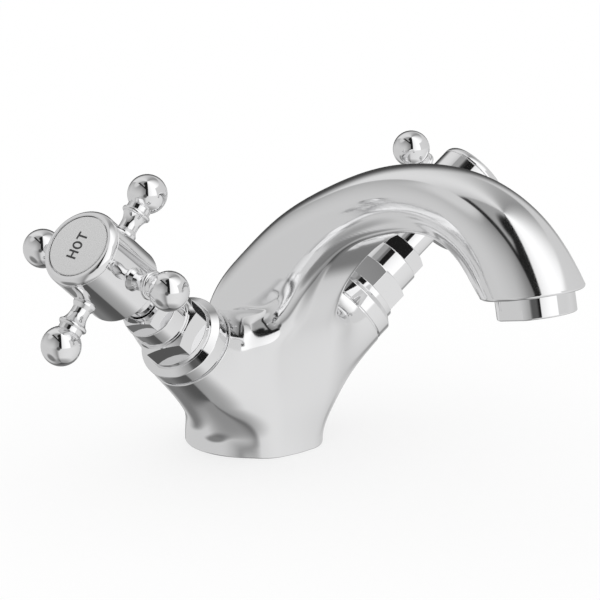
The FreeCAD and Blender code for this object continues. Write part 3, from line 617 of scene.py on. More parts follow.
class Tube:
    """A smooth bar through sections, each with a centre, a facing and sizes; its last end runs on."""

    def __init__(self, centres, facings, *sizes):
        centres = np.array(centres, float)
        self.values = np.column_stack([centres, facings, *sizes])
        self.knots = np.concatenate([[0], np.cumsum(np.linalg.norm(np.diff(centres, axis=0), axis=1))])
        self.bends = natural_spline(self.knots, self.values)
        self.samples = np.linspace(0, self.knots[-1] + END_RUN, BAR_SAMPLES)

    def at(self, length):
        """Centre, facing and sizes, and their slopes, at lengths along the curve."""
        inside = np.minimum(length, self.knots[-1])
        span = np.clip(np.searchsorted(self.knots, inside) - 1, 0, len(self.knots) - 2)
        step = (self.knots[span + 1] - self.knots[span])[:, None]
        after = (inside - self.knots[span])[:, None]
        before = step - after
        low, high = self.bends[span], self.bends[span + 1]
        low_share = self.values[span] / step - low * step / 6
        high_share = self.values[span + 1] / step - high * step / 6
        here = (low * before ** 3 + high * after ** 3) / (6 * step) + low_share * before + high_share * after
        slope = (high * after ** 2 - low * before ** 2) / (2 * step) - low_share + high_share
        return here + slope * (length - inside)[:, None], slope

    def nearest(self, points):
        """The length at the sample nearest each point."""
        centres = self.at(self.samples)[0][:, :3]
        found = np.empty(len(points))
        for start in range(0, len(points), BLOCK):
            away = points[start:start + BLOCK, None, :] - centres[None, :, :]
            found[start:start + BLOCK] = self.samples[np.argmin((away ** 2).sum(2), axis=1)]
        return found

    def section(self, away, facing, sizes):
        """Distance outside the section, and its slope in the section's plane: here a round."""
        distance = np.linalg.norm(away, axis=1) + WELD
        return distance - sizes[:, 0], away / distance[:, None]

    def field(self, points, length):
        """Distance outside the bar in its section's plane, the slope of that, and the section's length."""
        end = self.knots[-1] + END_RUN
        for turn in range(SEARCH_TURNS):
            here, slope = self.at(length)
            away = points - here[:, :3]
            facing = here[:, 3:6]
            ahead = (away * facing).sum(1)
            pace = (slope[:, :3] * facing).sum(1) - (away * slope[:, 3:6]).sum(1)
            pace = np.maximum(pace, LEAST_PACE)
            if turn < SEARCH_TURNS - 1:
                step = np.clip(ahead / pace, -SEARCH_REACH, SEARCH_REACH)
                length = np.clip(length + step, 0, end)
        value, across = self.section(away, facing, here[:, 6:])
        free = (length > 0) & (length < end)
        drift = (across * slope[:, :3]).sum(1) + slope[:, 6]
        return (value, across - facing * (free * drift / pace)[:, None]), length


def under(facing):
    """The direction to the underside, square to a facing in the tap's middle plane."""
    return np.column_stack([np.zeros(len(facing)), -facing[:, 2], facing[:, 1]])


class FlatTube(Tube):
    """A round bar drawn out to its underside, which is flat. Sizes: radius, draw, level of the flat."""

    def section(self, away, facing, sizes):
        downward = under(facing)
        depth = (away * downward).sum(1)
        drawn = away - downward * np.clip(depth, 0, sizes[:, 1])[:, None]
        distance = np.linalg.norm(drawn, axis=1) + WELD
        round_form = (sizes[:, 0] - distance, -drawn / distance[:, None])
        value, slope = blended(round_form, (sizes[:, 2] - depth, -downward), FLAT_BLEND)
        return -value, -slope


class SlabTube(Tube):
    """A flat bar with rounded edges. Sizes: half its width, half its depth, the rounding."""

    def section(self, away, facing, sizes):
        downward = under(facing)
        depth = (away * downward).sum(1)
        side = np.sign(away[:, 0])
        out = np.abs(away[:, 0]) - sizes[:, 0] + sizes[:, 2]
        deep = np.abs(depth) - sizes[:, 1] + sizes[:, 2]
        out_part, deep_part = np.maximum(out, 0), np.maximum(deep, 0)
        length = np.hypot(out_part, deep_part) + WELD
        value = length + np.minimum(np.maximum(out, deep), 0) - sizes[:, 2]
        inside = length < 2 * WELD
        out_share = np.where(inside, out > deep, out_part / length)
        deep_share = np.where(inside, out <= deep, deep_part / length) * np.sign(depth)
        slope = downward * deep_share[:, None]
        slope[:, 0] += out_share * side
        return value, slope


def foot_field(points):
    """The foot's rounded side, closed by a ball under the basin's level."""
    inward = (BASE_D - FOOT_TOP_D) / 2
    upward = FOOT_H - FOOT_EDGE_H
    bend = (inward ** 2 + upward ** 2) / (2 * inward)
    out = np.hypot(points[:, 0], points[:, 1]) + WELD
    across = out - (BASE_D / 2 - bend)
    above = np.maximum(points[:, 2] - FOOT_EDGE_H, 0)
    below = np.minimum(points[:, 2] + FOOT_EDGE_H, 0)
    low = below < 0
    length = np.where(low, np.hypot(out, below), np.hypot(across, above))
    value = length - np.where(low, BASE_D / 2, bend)
    out_slope = np.where(low, out, across) / length
    up_slope = np.where(low, below, above) / length
    return value, np.column_stack([points[:, 0] / out * out_slope, points[:, 1] / out * out_slope, up_slope])


def blended(first, second, reach):
    """The smooth union of two fields, and its slope."""
    near = (first[0] < second[0])[:, None]
    share = np.maximum(1 - np.abs(first[0] - second[0]) / reach, 0)
    value = np.minimum(first[0], second[0]) - share ** 3 * reach / 6
    part = (share ** 2 / 2)[:, None]
    slope = np.where(near, first[1], second[1]) * (1 - part) + np.where(near, second[1], first[1]) * part
    return value, slope


def horn_tube(side):
    boss = valve_matrix(side) @ Vector((0, 0, BOSS_REACH))
    yaw = Matrix.Rotation(math.radians(180 + VALVE_SWEEP if side == "hot" else -VALVE_SWEEP), 3, "Z")
    centres, radii, facings = [], [], []
    for reach, height, tilt, width in HORN_SHARES:
        pitch = math.radians((90 - VALVE_TILT) * tilt)
        centres.append((boss.x * reach, boss.y * reach, boss.z * height))
        radii.append((HORN_ROOT_D + (BOSS_D - HORN_ROOT_D) * width) / 2)
        facings.append(yaw @ Vector((math.sin(pitch), 0, math.cos(pitch))))
    return Tube(centres, facings, radii)


def middle_rows(forward, height):
    """Points or directions in the tap's middle plane."""
    return np.column_stack([np.zeros(len(forward)), -forward, height])


def spout_tube():
    reach, rise, lean, swell, flare, draw, flat = np.array(SPOUT_SHARES).T
    angle = np.radians(lean)
    radius = (SPOUT_D + (BASE_D - SPOUT_D) * swell + (SPOUT_END_D - SPOUT_D) * flare) / 2
    centres = middle_rows(SPOUT_REACH * reach, SPOUT_RISE * rise)
    return FlatTube(centres, middle_rows(np.sin(angle), np.cos(angle)), radius, draw, flat)


def throat_tube():
    forward, height, lean, width, depth, bend = np.array(THROAT_ROWS).T
    angle = np.radians(lean)
    centres = middle_rows(forward - depth * np.cos(angle), height + depth * np.sin(angle))
    return SlabTube(centres, middle_rows(np.sin(angle), np.cos(angle)), width, depth, bend)


class Casting:
    """The blended form of horns, foot, throat and spout."""

    def __init__(self):
        self.tubes = [horn_tube("hot"), horn_tube("cold"), throat_tube(), spout_tube()]

    def lengths(self, points):
        return [tube.nearest(points) for tube in self.tubes]

    def field(self, points, lengths):
        forms = []
        for number, tube in enumerate(self.tubes):
            form, lengths[number] = tube.field(points, lengths[number])
            forms.append(form)
        hot, cold, throat, spout = forms
        rise = np.clip(points[:, 2] / LOW_BLEND_H, 0, 1)
        grow = LOW_BLEND_SHARE + (1 - LOW_BLEND_SHARE) * rise * rise * (3 - 2 * rise)
        above = np.clip((points[:, 2] - CREASE_LOW) / (CREASE_HIGH - CREASE_LOW), 0, 1)
        shrink = above * above * (3 - 2 * above)
        whole = blended(hot, cold, HORN_BLEND * grow)
        whole = blended(whole, foot_field(points), FOOT_BLEND * grow)
        whole = blended(whole, throat, THROAT_BLEND * grow)
        return blended(whole, spout, SPOUT_BLEND * grow * (1 - shrink) + CREASE_BLEND * shrink)

    def normals(self, points):
        """Unit slopes of the field, measured over a short step each way."""
        lengths = self.lengths(points)
        slope = np.empty_like(points)
        for axis in range(3):
            step = np.zeros(3)
            step[axis] = GRADIENT_STEP
            high = self.field(points + step, list(lengths))[0]
            slope[:, axis] = high - self.field(points - step, list(lengths))[0]
        return slope / np.linalg.norm(slope, axis=1)[:, None]

    def settle(self, points, edges, free):
        """Draws points onto the blended surface and evens the spread of the free ones over it."""
        lengths = self.lengths(points)
        degree = np.bincount(edges.ravel(), minlength=len(points))[:, None]
        for turn in range(SETTLE_TURNS):
            if turn < EVEN_TURNS:
                total = np.zeros_like(points)
                np.add.at(total, edges[:, 0], points[edges[:, 1]])
                np.add.at(total, edges[:, 1], points[edges[:, 0]])
                points = points + EVEN_SHARE * free[:, None] * (total / degree - points)
            value, slope = self.field(points, lengths)
            points = points - value[:, None] * slope / (slope ** 2).sum(1)[:, None]
        return points


def rough_tube(tube):
    points, faces = [], []
    rows = tube.at(tube.samples[::ROUGH_STRIDE])[0]
    side = Vector((1, 0, 0))
    for row in rows:
        ahead = Vector(row[3:6]).normalized()
        side = (side - ahead * side.dot(ahead)).normalized()
        up = ahead.cross(side)
        for angle in round_angles(ROUGH_SIDES):
            points.append((Vector(row[:3]) + (side * math.cos(angle) + up * math.sin(angle)) * row[6]) * MM)
    last = (len(rows) - 1) * ROUGH_SIDES
    for low in range(0, last, ROUGH_SIDES):
        high = low + ROUGH_SIDES
        for number in range(ROUGH_SIDES):
            after = (number + 1) % ROUGH_SIDES
            faces.append((low + number, low + after, high + after, high + number))
    faces.append(tuple(reversed(range(ROUGH_SIDES))))
    faces.append(tuple(range(last, last + ROUGH_SIDES)))
    return points, faces


def rough_casting(casting):
    """A voxel skin round the plain forms, to be drawn onto the blended surface."""
    foot = Tube([(0, 0, -END_RUN), (0, 0, FOOT_EDGE_H), (0, 0, FOOT_H - END_RUN)],
                [(0, 0, 1)] * 3, [BASE_D / 2, BASE_D / 2, FOOT_TOP_D / 2])
    points, faces = [], []
    for tube in [*casting.tubes, foot]:
        tube_points, tube_faces = rough_tube(tube)
        faces += [tuple(index + len(points) for index in face) for face in tube_faces]
        points += tube_points
    mesh = bpy.data.meshes.new("rough_casting")
    mesh.from_pydata(points, [], faces)
    skin = bpy.data.objects.new("rough_casting", mesh)
    bpy.context.scene.collection.objects.link(skin)
    remesh = skin.modifiers.new("voxels", "REMESH")
    remesh.mode = "VOXEL"
    remesh.voxel_size = VOXEL * MM
    made = bpy.data.meshes.new_from_object(skin.evaluated_get(bpy.context.evaluated_depsgraph_get()))
    bpy.data.objects.remove(skin)
    return made


def trim_ends(made, past):
    """Cuts the casting at its end planes: past them by a length, or else short by each edge's rounding."""
    for origin, normal, bend, span in casting_ends():
        inside = {vertex for vertex in made.verts if (vertex.co - origin).length < span}
        area = list(inside)
        area += [edge for edge in made.edges if inside.issuperset(edge.verts)]
        area += [face for face in made.faces if inside.issuperset(face.verts)]
        level = origin + normal * (past or -bend)
        bmesh.ops.bisect_plane(made, geom=area, dist=WELD, plane_co=level, plane_no=normal, clear_outer=True)
    made.verts.index_update()


def trimmed_casting(casting):
    """The blended surface, cut just short of the foot's, the bosses' and the spout's end planes."""
    made = bmesh.new()
    made.from_mesh(rough_casting(casting))
    for vertex in made.verts:
        vertex.co /= MM
    trim_ends(made, END_RUN / 2)
    points = np.array([vertex.co for vertex in made.verts])
    edges = np.array([[vertex.index for vertex in edge.verts] for edge in made.edges])
    free = np.array([not vertex.is_boundary for vertex in made.verts])
    for vertex, point in zip(made.verts, casting.settle(points, edges, free)):
        vertex.co = Vector(point)
    trim_ends(made, 0)
    return made


def casting_ends():
    """Each end plane: a point, its outward normal, the rounding of its edge, and the span that it cuts."""
    down = Vector((0, 0, -1))
    ends = [(Vector((0, 0, 0)), down, FOOT_ROUND, BASE_D)]
    for side in SIDES:
        matrix = valve_matrix(side)
        normal = (matrix.to_3x3() @ Vector((0, 0, 1))).normalized()
        ends.append((matrix @ Vector((0, 0, BOSS_REACH)), normal, BOSS_ROUND, BOSS_D))
    ends.append((Vector((0, -SPOUT_REACH, SPOUT_END_RISE)), outlet_direction(), SPOUT_ROUND, SPOUT_END_D))
    return ends


def boundary_loops(made):
    """The open edges as rings of vertices."""
    after = {}
    for edge in made.edges:
        if len(edge.link_loops) == 1:
            loop = edge.link_loops[0]
            after[loop.link_loop_next.vert] = loop.vert
    loops = []
    while after:
        start, here = next(iter(after.items()))
        del after[start]
        ring = [start]
        while here is not start:
            ring.append(here)
            here = after.pop(here)
        loops.append(ring)
    return loops


def moved_in(ring, centre, axis, radius, depth=0.0):
    """The ring's points drawn onto a circle about the axis, and sunk from the end plane."""
    return [centre + from_axis(point, centre, axis) * radius - axis * depth for point in ring]


def rounded_rim(skin, ring, normals, axis, centre, bend):
    """Rounds the edge from the ring to the end plane, and returns the last ring."""
    low, low_normals = ring, normals
    for step in range(1, RIM_STEPS + 1):
        angle = math.pi / 2 * step / RIM_STEPS
        high, high_normals = [], []
        for point, normal in zip(ring, normals):
            across = from_axis(point, centre, axis)
            high.append(point + across * bend * (math.cos(angle) - 1) + axis * bend * math.sin(angle))
            high_normals.append((normal * math.cos(angle) + axis * math.sin(angle)).normalized())
        skin.band(low, high, low_normals, high_normals)
        low, low_normals = high, high_normals
    return low


def sunk_bore(skin, ring, axis, centre, diameter, depth):
    """An end face with a bore in it."""
    mouth = moved_in(ring, centre, axis, diameter / 2)
    floor = moved_in(ring, centre, axis, diameter / 2, depth)
    skin.flat_band(ring, mouth, axis)
    skin.wall(mouth, floor, centre, True)
    skin.disc(floor, centre - axis * depth, axis)


def underside(skin, ring, axis, centre):
    """The foot's underside with the gasket's groove, the two inlets and the stud's hole."""
    outer = GASKET_GROOVE_D / 2
    inner = outer - GASKET_GROOVE_W
    mouth, roof = moved_in(ring, centre, axis, outer), moved_in(ring, centre, axis, outer, GASKET_GROOVE_H)
    roof_in, lip = moved_in(ring, centre, axis, inner, GASKET_GROOVE_H), moved_in(ring, centre, axis, inner)
    skin.flat_band(ring, mouth, axis)
    skin.wall(mouth, roof, centre, True)
    skin.flat_band(roof, roof_in, axis)
    skin.wall(roof_in, lip, centre, False)
    angles = [-angle for angle in round_angles(HOLE_COUNT)]
    holes = []
    for middle, diameter, depth in (
        (Vector((INLET_AT[0], INLET_AT[1], 0)), INLET_D, INLET_DEPTH),
        (Vector((-INLET_AT[0], INLET_AT[1], 0)), INLET_D, INLET_DEPTH),
        (Vector((*STUD_AT, 0)), STUD_D, STUD_DEPTH),
    ):
        hole = [middle + point for point in circle(diameter / 2, 0, angles)]
        top = [point + Vector((0, 0, depth)) for point in hole]
        skin.wall(hole, top, middle, True)
        skin.disc(top, middle + Vector((0, 0, depth)), axis)
        holes.append(hole)
    skin.filled([lip, *holes], axis)


def casting_skin():
    casting = Casting()
    made = trimmed_casting(casting)
    normals = casting.normals(np.array([vertex.co for vertex in made.verts]))
    skin = Skin()
    for face in made.faces:
        skin.face([(vertex.co.copy(), Vector(normals[vertex.index])) for vertex in face.verts])
    bores = [None, (CHAMBER_D, CHAMBER_DEPTH), (CHAMBER_D, CHAMBER_DEPTH),
             (AERATOR_SOCKET_D, AERATOR_SOCKET_TOP - AERATOR_SHOW)]
    for loop in boundary_loops(made):
        ring = [vertex.co.copy() for vertex in loop]
        middle = sum(ring, Vector()) / len(ring)
        number, (centre, axis, bend, _) = min(
            enumerate(casting_ends()), key=lambda end: (end[1][0] - middle).length)
        ring_normals = [Vector(normals[vertex.index]) for vertex in loop]
        rim = rounded_rim(skin, ring, ring_normals, axis, centre, bend)
        if bores[number]:
            sunk_bore(skin, rim, axis, centre, *bores[number])
        else:
            underside(skin, rim, axis, centre)
    made.free()
    return skin


add_piece("tap_casting", casting_skin(), None, cast_chrome, "chrome", "tap_body", "body_casting")


# Valve and handle
def hexagon(flats, bend, turn):
    """Points round a hexagon with rounded corners, and their normals."""
    points, normals = [], []
    corner = flats / 2 / math.cos(HEX_HALF)
    half = flats / 2 * math.tan(HEX_HALF) - bend * math.tan(HEX_HALF)
    for side in range(6):
        middle = math.radians(turn + 60 * side)
        end = middle + HEX_HALF
        facing = Vector((math.cos(middle), math.sin(middle), 0))
        across = Vector((-facing.y, facing.x, 0))
        for step in range(HEX_ALONG + 1):
            points.append(facing * flats / 2 + across * half * (2 * step / HEX_ALONG - 1))
            normals.append(facing)
        centre = Vector((math.cos(end), math.sin(end), 0)) * (corner - bend / math.cos(HEX_HALF))
        for step in range(1, HEX_CORNER):
            angle = middle + math.pi / 3 * step / HEX_CORNER
            normal = Vector((math.cos(angle), math.sin(angle), 0))
            points.append(centre + normal * bend)
            normals.append(normal)
    return points, normals


def lifted(points, heights):
    return [Vector((point.x, point.y, height)) for point, height in zip(points, heights)]


def hexagon_band(skin, flats, low, high, turn, foot_radius):
    """A hexagon on a round foot, with its top corners turned off; returns its angles and top radius."""
    points, normals = hexagon(flats, SMALL_ROUND, turn)
    angles = [math.atan2(point.y, point.x) for point in points]
    slope = math.tan(HEX_CHAMFER)
    top = flats / 2 - SMALL_ROUND
    edge = [high - (Vector((point.x, point.y)).length - top) * slope for point in points]
    cone = circle(math.sin(HEX_CHAMFER), math.cos(HEX_CHAMFER), angles)
    skin.flat_band(circle(foot_radius, low, angles), lifted(points, [low] * len(points)), Vector((0, 0, 1)))
    skin.band(lifted(points, [low] * len(points)), lifted(points, edge), normals, normals)
    skin.band(lifted(points, edge), circle(top, high, angles), cone, cone)
    return angles, top


def headwork_skin(side):
    """Cage and thread inside the body, then shoulder, hexagon and barrel."""
    skin = Skin()
    corner = HEX_FLATS / 2 / math.cos(HEX_HALF)
    turn = -SIDES[side] * HEX_TURN
    angles, top = hexagon_band(skin, HEX_FLATS, SHOULDER_TOP, HEX_TOP, turn, corner - SMALL_ROUND)
    socket = GLAND_THREAD_D / 2 + GLAND_PLAY
    runs = outline([
        (top, HEX_TOP),
        (BARREL_D / 2, HEX_TOP, SMALL_ROUND),
        (BARREL_D / 2, BARREL_TOP, BARREL_ROUND),
        (socket, BARREL_TOP),
        (socket, BARREL_TOP - GLAND_SOCKET_L),
        (SHAFT_BORE_D / 2, BARREL_TOP - GLAND_SOCKET_L),
        (SHAFT_BORE_D / 2, CAGE_ROOF),
        (CAGE_INNER_D / 2, CAGE_ROOF),
        (CAGE_INNER_D / 2, CAGE_LOW),
        (CAGE_D / 2, CAGE_LOW),
        (CAGE_D / 2, THREAD_LOW),
        (THREAD_D / 2, THREAD_LOW),
        (THREAD_D / 2, COLLAR_TOP),
        (corner, COLLAR_TOP),
        (corner, SHOULDER_TOP, SMALL_ROUND),
        (corner - SMALL_ROUND * 2, SHOULDER_TOP),
    ], closed=False)
    last_start, last_normal, _, _ = runs[-1]
    runs[-1] = (last_start, last_normal, Vector((corner - SMALL_ROUND, SHOULDER_TOP)), last_normal)
    return turn_runs(skin, runs, angles)


def gland_skin(side):
    """Thread in the barrel, then the small hexagon with a mouth for the handle's sleeve."""
    skin = Skin()
    mouth = SLEEVE_D / 2 + GLAND_MOUTH_PLAY
    thread = GLAND_THREAD_D / 2
    angles, top = hexagon_band(skin, GLAND_FLATS, BARREL_TOP, GLAND_TOP, -SIDES[side] * GLAND_TURN, thread)
    return turn_runs(skin, outline([
        (top, GLAND_TOP),
        (mouth, GLAND_TOP, SMALL_ROUND),
        (mouth, GLAND_TOP - GLAND_MOUTH_H),
        (SHAFT_BORE_D / 2, GLAND_TOP - GLAND_MOUTH_H),
        (SHAFT_BORE_D / 2, BARREL_TOP - GLAND_THREAD_L),
        (thread, BARREL_TOP - GLAND_THREAD_L),
        (thread, BARREL_TOP),
    ], closed=False), angles)


def collar_skin():
    inner = CHAMBER_D / 2
    return turned([
        (inner, BOSS_REACH),
        (GROOVE_D / 2, BOSS_REACH),
        (GROOVE_D / 2, BOSS_REACH + GROOVE_H),
        (COLLAR_D / 2, BOSS_REACH + GROOVE_H, SMALL_ROUND),
        (COLLAR_D / 2, COLLAR_TOP - COLLAR_BEVEL_H, COLLAR_ROUND),
        (COLLAR_TOP_D / 2, COLLAR_TOP, SMALL_ROUND),
        (inner, COLLAR_TOP),
    ])


def hub_skin():
    recess = INDEX_D / 2
    return turned([
        (SLEEVE_BORE_D / 2, SLEEVE_LOW),
        (SLEEVE_D / 2, SLEEVE_LOW, SMALL_ROUND),
        (SLEEVE_D / 2, HUB_LOW, SMALL_ROUND),
        (HUB_D / 2, HUB_LOW, HUB_EDGE),
        (HUB_D / 2, HUB_TOP, SMALL_ROUND),
        (recess, HUB_TOP),
        (recess, HUB_TOP - HUB_RECESS),
        (BUSH_SOCKET_D / 2, HUB_TOP - HUB_RECESS),
        (BUSH_SOCKET_D / 2, BUSH_LOW),
        (SLEEVE_BORE_D / 2, BUSH_LOW),
    ])


def arm_skin():
    neck = ARM_NECK_D / 2
    ball = BALL_D / 2
    bead_half = BEAD_W / 2
    swell = (BEAD_D - BELL_D) / 2
    bell_out = (BELL_D - STEM_D) / 2
    bell_low = BEAD_AT - bead_half - BELL_H
    root_top = ARM_SEAT + ARM_ROOT_H
    return turned([
        (0, ARM_SEAT),
        (ARM_ROOT_D / 2, ARM_SEAT),
        (ARM_ROOT_D / 2, root_top, SMALL_ROUND),
        (STEM_D / 2, root_top + ARM_ROOT_TAPER, SMALL_ROUND),
        (STEM_D / 2, bell_low, 0, -(BELL_H ** 2 + bell_out ** 2) / (2 * bell_out)),
        (BELL_D / 2, BEAD_AT - bead_half, 0, (bead_half ** 2 + swell ** 2) / (2 * swell)),
        (BELL_D / 2, BEAD_AT + bead_half),
        (neck, BEAD_AT + bead_half),
        (neck, ARM_REACH - math.sqrt(ball ** 2 - neck ** 2), 0, ball),
        (0, ARM_REACH + ball),
    ], closed=False, count=ARM_COUNT)


def bezel_skin():
    spigot = INDEX_D / 2 - INDEX_GAP
    disc_bore = INDEX_D / 2 + INDEX_GAP
    inner = INDEX_D / 2 - LEDGE_W
    return turned([
        (inner, BEZEL_LOW),
        (spigot, BEZEL_LOW),
        (spigot, HUB_TOP),
        (HUB_D / 2, HUB_TOP, SMALL_ROUND),
        (HUB_D / 2, HUB_TOP + BEZEL_EDGE_H, 0, BEZEL_ROUND),
        (BEZEL_TOP_D / 2, BEZEL_TOP),
        (disc_bore, BEZEL_TOP, SMALL_ROUND),
        (disc_bore, INDEX_LOW),
        (inner, INDEX_LOW),
    ])


def disc_skin():
    edge = INDEX_D / 2 - INDEX_GAP
    rim = edge - DISC_EDGE
    return turned([
        (0, INDEX_LOW),
        (edge, INDEX_LOW),
        (edge, BEZEL_TOP - DISC_EDGE, 0, DISC_EDGE),
        (rim, BEZEL_TOP, 0, (rim ** 2 + INDEX_CROWN ** 2) / (2 * INDEX_CROWN)),
        (0, BEZEL_TOP + INDEX_CROWN),
    ], closed=False)


# Outlet
def housing_angles():
    """Angles round the aerator housing, each with whether it is on a flat; a flat's edges come twice."""
    edge = math.degrees(math.acos(AERATOR_FLATS / AERATOR_D))
    rows = []
    for middle in (0, 90, 180, 270):
        flat = middle % 180 == 0
        half = edge if flat else 90 - edge
        steps = math.ceil(half / AERATOR_STEP)
        for step in range(-steps, steps + 1):
            rows.append((math.radians(middle + half * step / steps), flat))
    return rows


def housing_ring(rows, inset, height):
    """A ring of the housing's outside, with its flats, drawn in by an inset."""
    radius, limit = AERATOR_D / 2 - inset, AERATOR_FLATS / 2 - inset
    points = []
    for angle, flat in rows:
        across = math.copysign(limit, math.cos(angle)) if flat else radius * math.cos(angle)
        points.append(Vector((across, radius * math.sin(angle), height)))
    return points


def housing_normals(rows, lean):
    normals = []
    for angle, flat in rows:
        across = Vector((math.copysign(1, math.cos(angle)), 0, 0)) if flat else Vector(
            (math.cos(angle), math.sin(angle), 0))
        normals.append(across * math.cos(lean) - Vector((0, 0, math.sin(lean))))
    return normals


def housing_skin():
    skin = Skin()
    rows = housing_angles()
    angles = [angle for angle, _ in rows]
    down = Vector((0, 0, -1))
    rings = []
    for step in range(AERATOR_EDGE_STEPS + 1):
        lean = math.pi / 2 * (1 - step / AERATOR_EDGE_STEPS)
        inset, height = AERATOR_EDGE * (1 - math.cos(lean)), AERATOR_EDGE * (1 - math.sin(lean))
        rings.append((housing_ring(rows, inset, height), housing_normals(rows, lean)))
    for (low, low_normals), (high, high_normals) in zip(rings, rings[1:]):
        skin.band(low, high, low_normals, high_normals)
    low, normals = rings[-1]
    high = housing_ring(rows, 0, AERATOR_FLAT_H)
    skin.band(low, high, normals, normals)
    skin.flat_band(high, circle(AERATOR_D / 2, AERATOR_FLAT_H, angles), down)
    lip = AERATOR_INNER_D / 2 - LIP_W
    turn_runs(skin, outline([
        (AERATOR_D / 2, AERATOR_FLAT_H),
        (AERATOR_D / 2, AERATOR_SHOW),
        (AERATOR_THREAD_D / 2, AERATOR_SHOW),
        (AERATOR_THREAD_D / 2, AERATOR_TOP),
        (AERATOR_INNER_D / 2, AERATOR_TOP),
        (AERATOR_INNER_D / 2, LIP_T),
        (lip, LIP_T),
        (lip, 0),
    ], closed=False), angles)
    skin.flat_band(circle(lip, 0, angles), rings[0][0], down)
    return skin


add_piece("aerator_ring", housing_skin(), outlet_matrix(), chrome, "chrome", "tap_body", "aerator_housing")


# Lettering
def letter_loops(letter):
    """The outline of a letter, then its hole: strokes within a cell of the letters' width and height."""
    wide, tall, stroke = LETTER_W, LETTER_H, LETTER_STROKE
    middle, half = wide / 2, stroke / 2

    def oval(inset, start, end):
        points = []
        for step in range(LETTER_ARC_COUNT + 1):
            angle = math.radians(start + (end - start) * step / LETTER_ARC_COUNT)
            points.append((middle + (middle - inset) * math.cos(angle),
                           tall / 2 + (tall / 2 - inset) * math.sin(angle)))
        return points

    def bow(inset):
        return [(inset, inset), *oval(inset, -90, 90), (inset, tall - inset)]

    if letter == "H":
        low, high = (tall - stroke) / 2, (tall + stroke) / 2
        return [[(0, 0), (stroke, 0), (stroke, low), (wide - stroke, low), (wide - stroke, 0), (wide, 0),
                 (wide, tall), (wide - stroke, tall), (wide - stroke, high), (stroke, high), (stroke, tall),
                 (0, tall)]]
    if letter == "T":
        low = tall - stroke
        return [[(middle - half, 0), (middle + half, 0), (middle + half, low), (wide, low),
                 (wide, tall), (0, tall), (0, low), (middle - half, low)]]
    if letter == "L":
        return [[(0, 0), (wide, 0), (wide, stroke), (stroke, stroke), (stroke, tall), (0, tall)]]
    if letter == "C":
        return [[*oval(0, C_GAP, 360 - C_GAP), *reversed(oval(stroke, C_GAP, 360 - C_GAP))]]
    if letter == "D":
        return [bow(0), list(reversed(bow(stroke)))]
    return [oval(0, 0, 360)[:-1], list(reversed(oval(stroke, 0, 360)[:-1]))]


def crown_height(point):
    return BEZEL_TOP + INDEX_CROWN * (1 - point.length_squared / (INDEX_D / 2) ** 2)


def word_skin(side):
    """The word on an index disc, with the letters' tops to the rear arm."""
    skin = Skin()
    word = side.upper()
    turn = Matrix.Rotation(math.radians(WORD_TURNS[side] + SIDES[side] * ARM_TURN), 2)
    start = -(LETTER_STEP * (len(word) - 1) + LETTER_W) / 2
    up = Vector((0, 0, 1))
    for number, letter in enumerate(word):
        shift = Vector((start + LETTER_STEP * number, -LETTER_H / 2))
        tops, floors = [], []
        for loop in letter_loops(letter):
            flat = [turn @ (Vector(point) + shift) for point in loop]
            tops.append([Vector((*point, crown_height(point) + LETTER_T)) for point in flat])
            floors.append([Vector((*point, crown_height(point) - LETTER_T)) for point in flat])
        for top, floor in zip(tops, floors):
            for here in range(len(top)):
                after = (here + 1) % len(top)
                outside = (top[after] - top[here]).cross(up).normalized()
                corners = (floor[here], floor[after], top[after], top[here])
                skin.face([(point, outside) for point in corners])
        skin.filled(tops, up)
        skin.filled(floors, -up)
    return skin


ARM_NAMES = {"hot": ["lower", "front", "upper", "rear"], "cold": ["lower", "rear", "upper", "front"]}
for side in SIDES:
    handle = f"{side}_handle"
    for name, skin, material, slot, body, *nodes in (
        ("collar", collar_skin(), chrome, "chrome", "tap_body", f"{side}_valve_collar"),
        ("headwork", headwork_skin(side), chrome, "chrome", "tap_body", f"{side}_headwork_body"),
        ("gland", gland_skin(side), chrome, "chrome", "tap_body", f"{side}_gland_nut"),
        ("hub", hub_skin(), chrome, "chrome", handle, f"{side}_handle_hub"),
        ("bezel", bezel_skin(), chrome, "chrome", handle, f"{side}_index_bezel"),
        ("index", disc_skin(), grained["index_white"], "index_white", handle, f"{side}_index_disc"),
        ("word", word_skin(side), grained["letter_grey"], None, handle),
    ):
        add_piece(f"{side}_{name}", skin, valve_matrix(side), material, slot, body, *nodes)
    for number, name in enumerate(ARM_NAMES[side]):
        add_piece(f"{side}_arm_{name}", arm_skin(), arm_matrix(side, number), chrome, "chrome", handle,
                  f"{side}_handle_arm_{name}")

for node_name, node in frame["nodes"].items():
    short = node_name.replace("hot_", "").replace("cold_", "")
    node.data.materials.clear()
    node.data.materials.append(grained[NODE_GRAINS[short]] if short in NODE_GRAINS else chrome)


# Studio
def camera():
    data = bpy.data.cameras.new("camera")
    data.lens = CAMERA_LENS
    data.sensor_width = CAMERA_SENSOR
    data.clip_start, data.clip_end = CAMERA_CLIP
    thing = bpy.data.objects.new("camera", data)
    bpy.context.scene.collection.objects.link(thing)
    thing.location = CAMERA_AT * MM
    thing.rotation_euler = (CAMERA_TARGET - CAMERA_AT).to_track_quat("-Z", "Y").to_euler()
    bpy.context.scene.camera = thing


def studio_way(bearing, height):
    """A direction: degrees to the right of the camera's side of the tap, and degrees upwards."""
    to_camera = (CAMERA_AT - CAMERA_TARGET) * Vector((1, 1, 0))
    forward = to_camera.normalized()
    right = Vector((-forward.y, forward.x, 0))
    turn, rise = math.radians(bearing), math.radians(height)
    level = right * math.sin(turn) + forward * math.cos(turn)
    return level * math.cos(rise) + Vector((0, 0, math.sin(rise)))


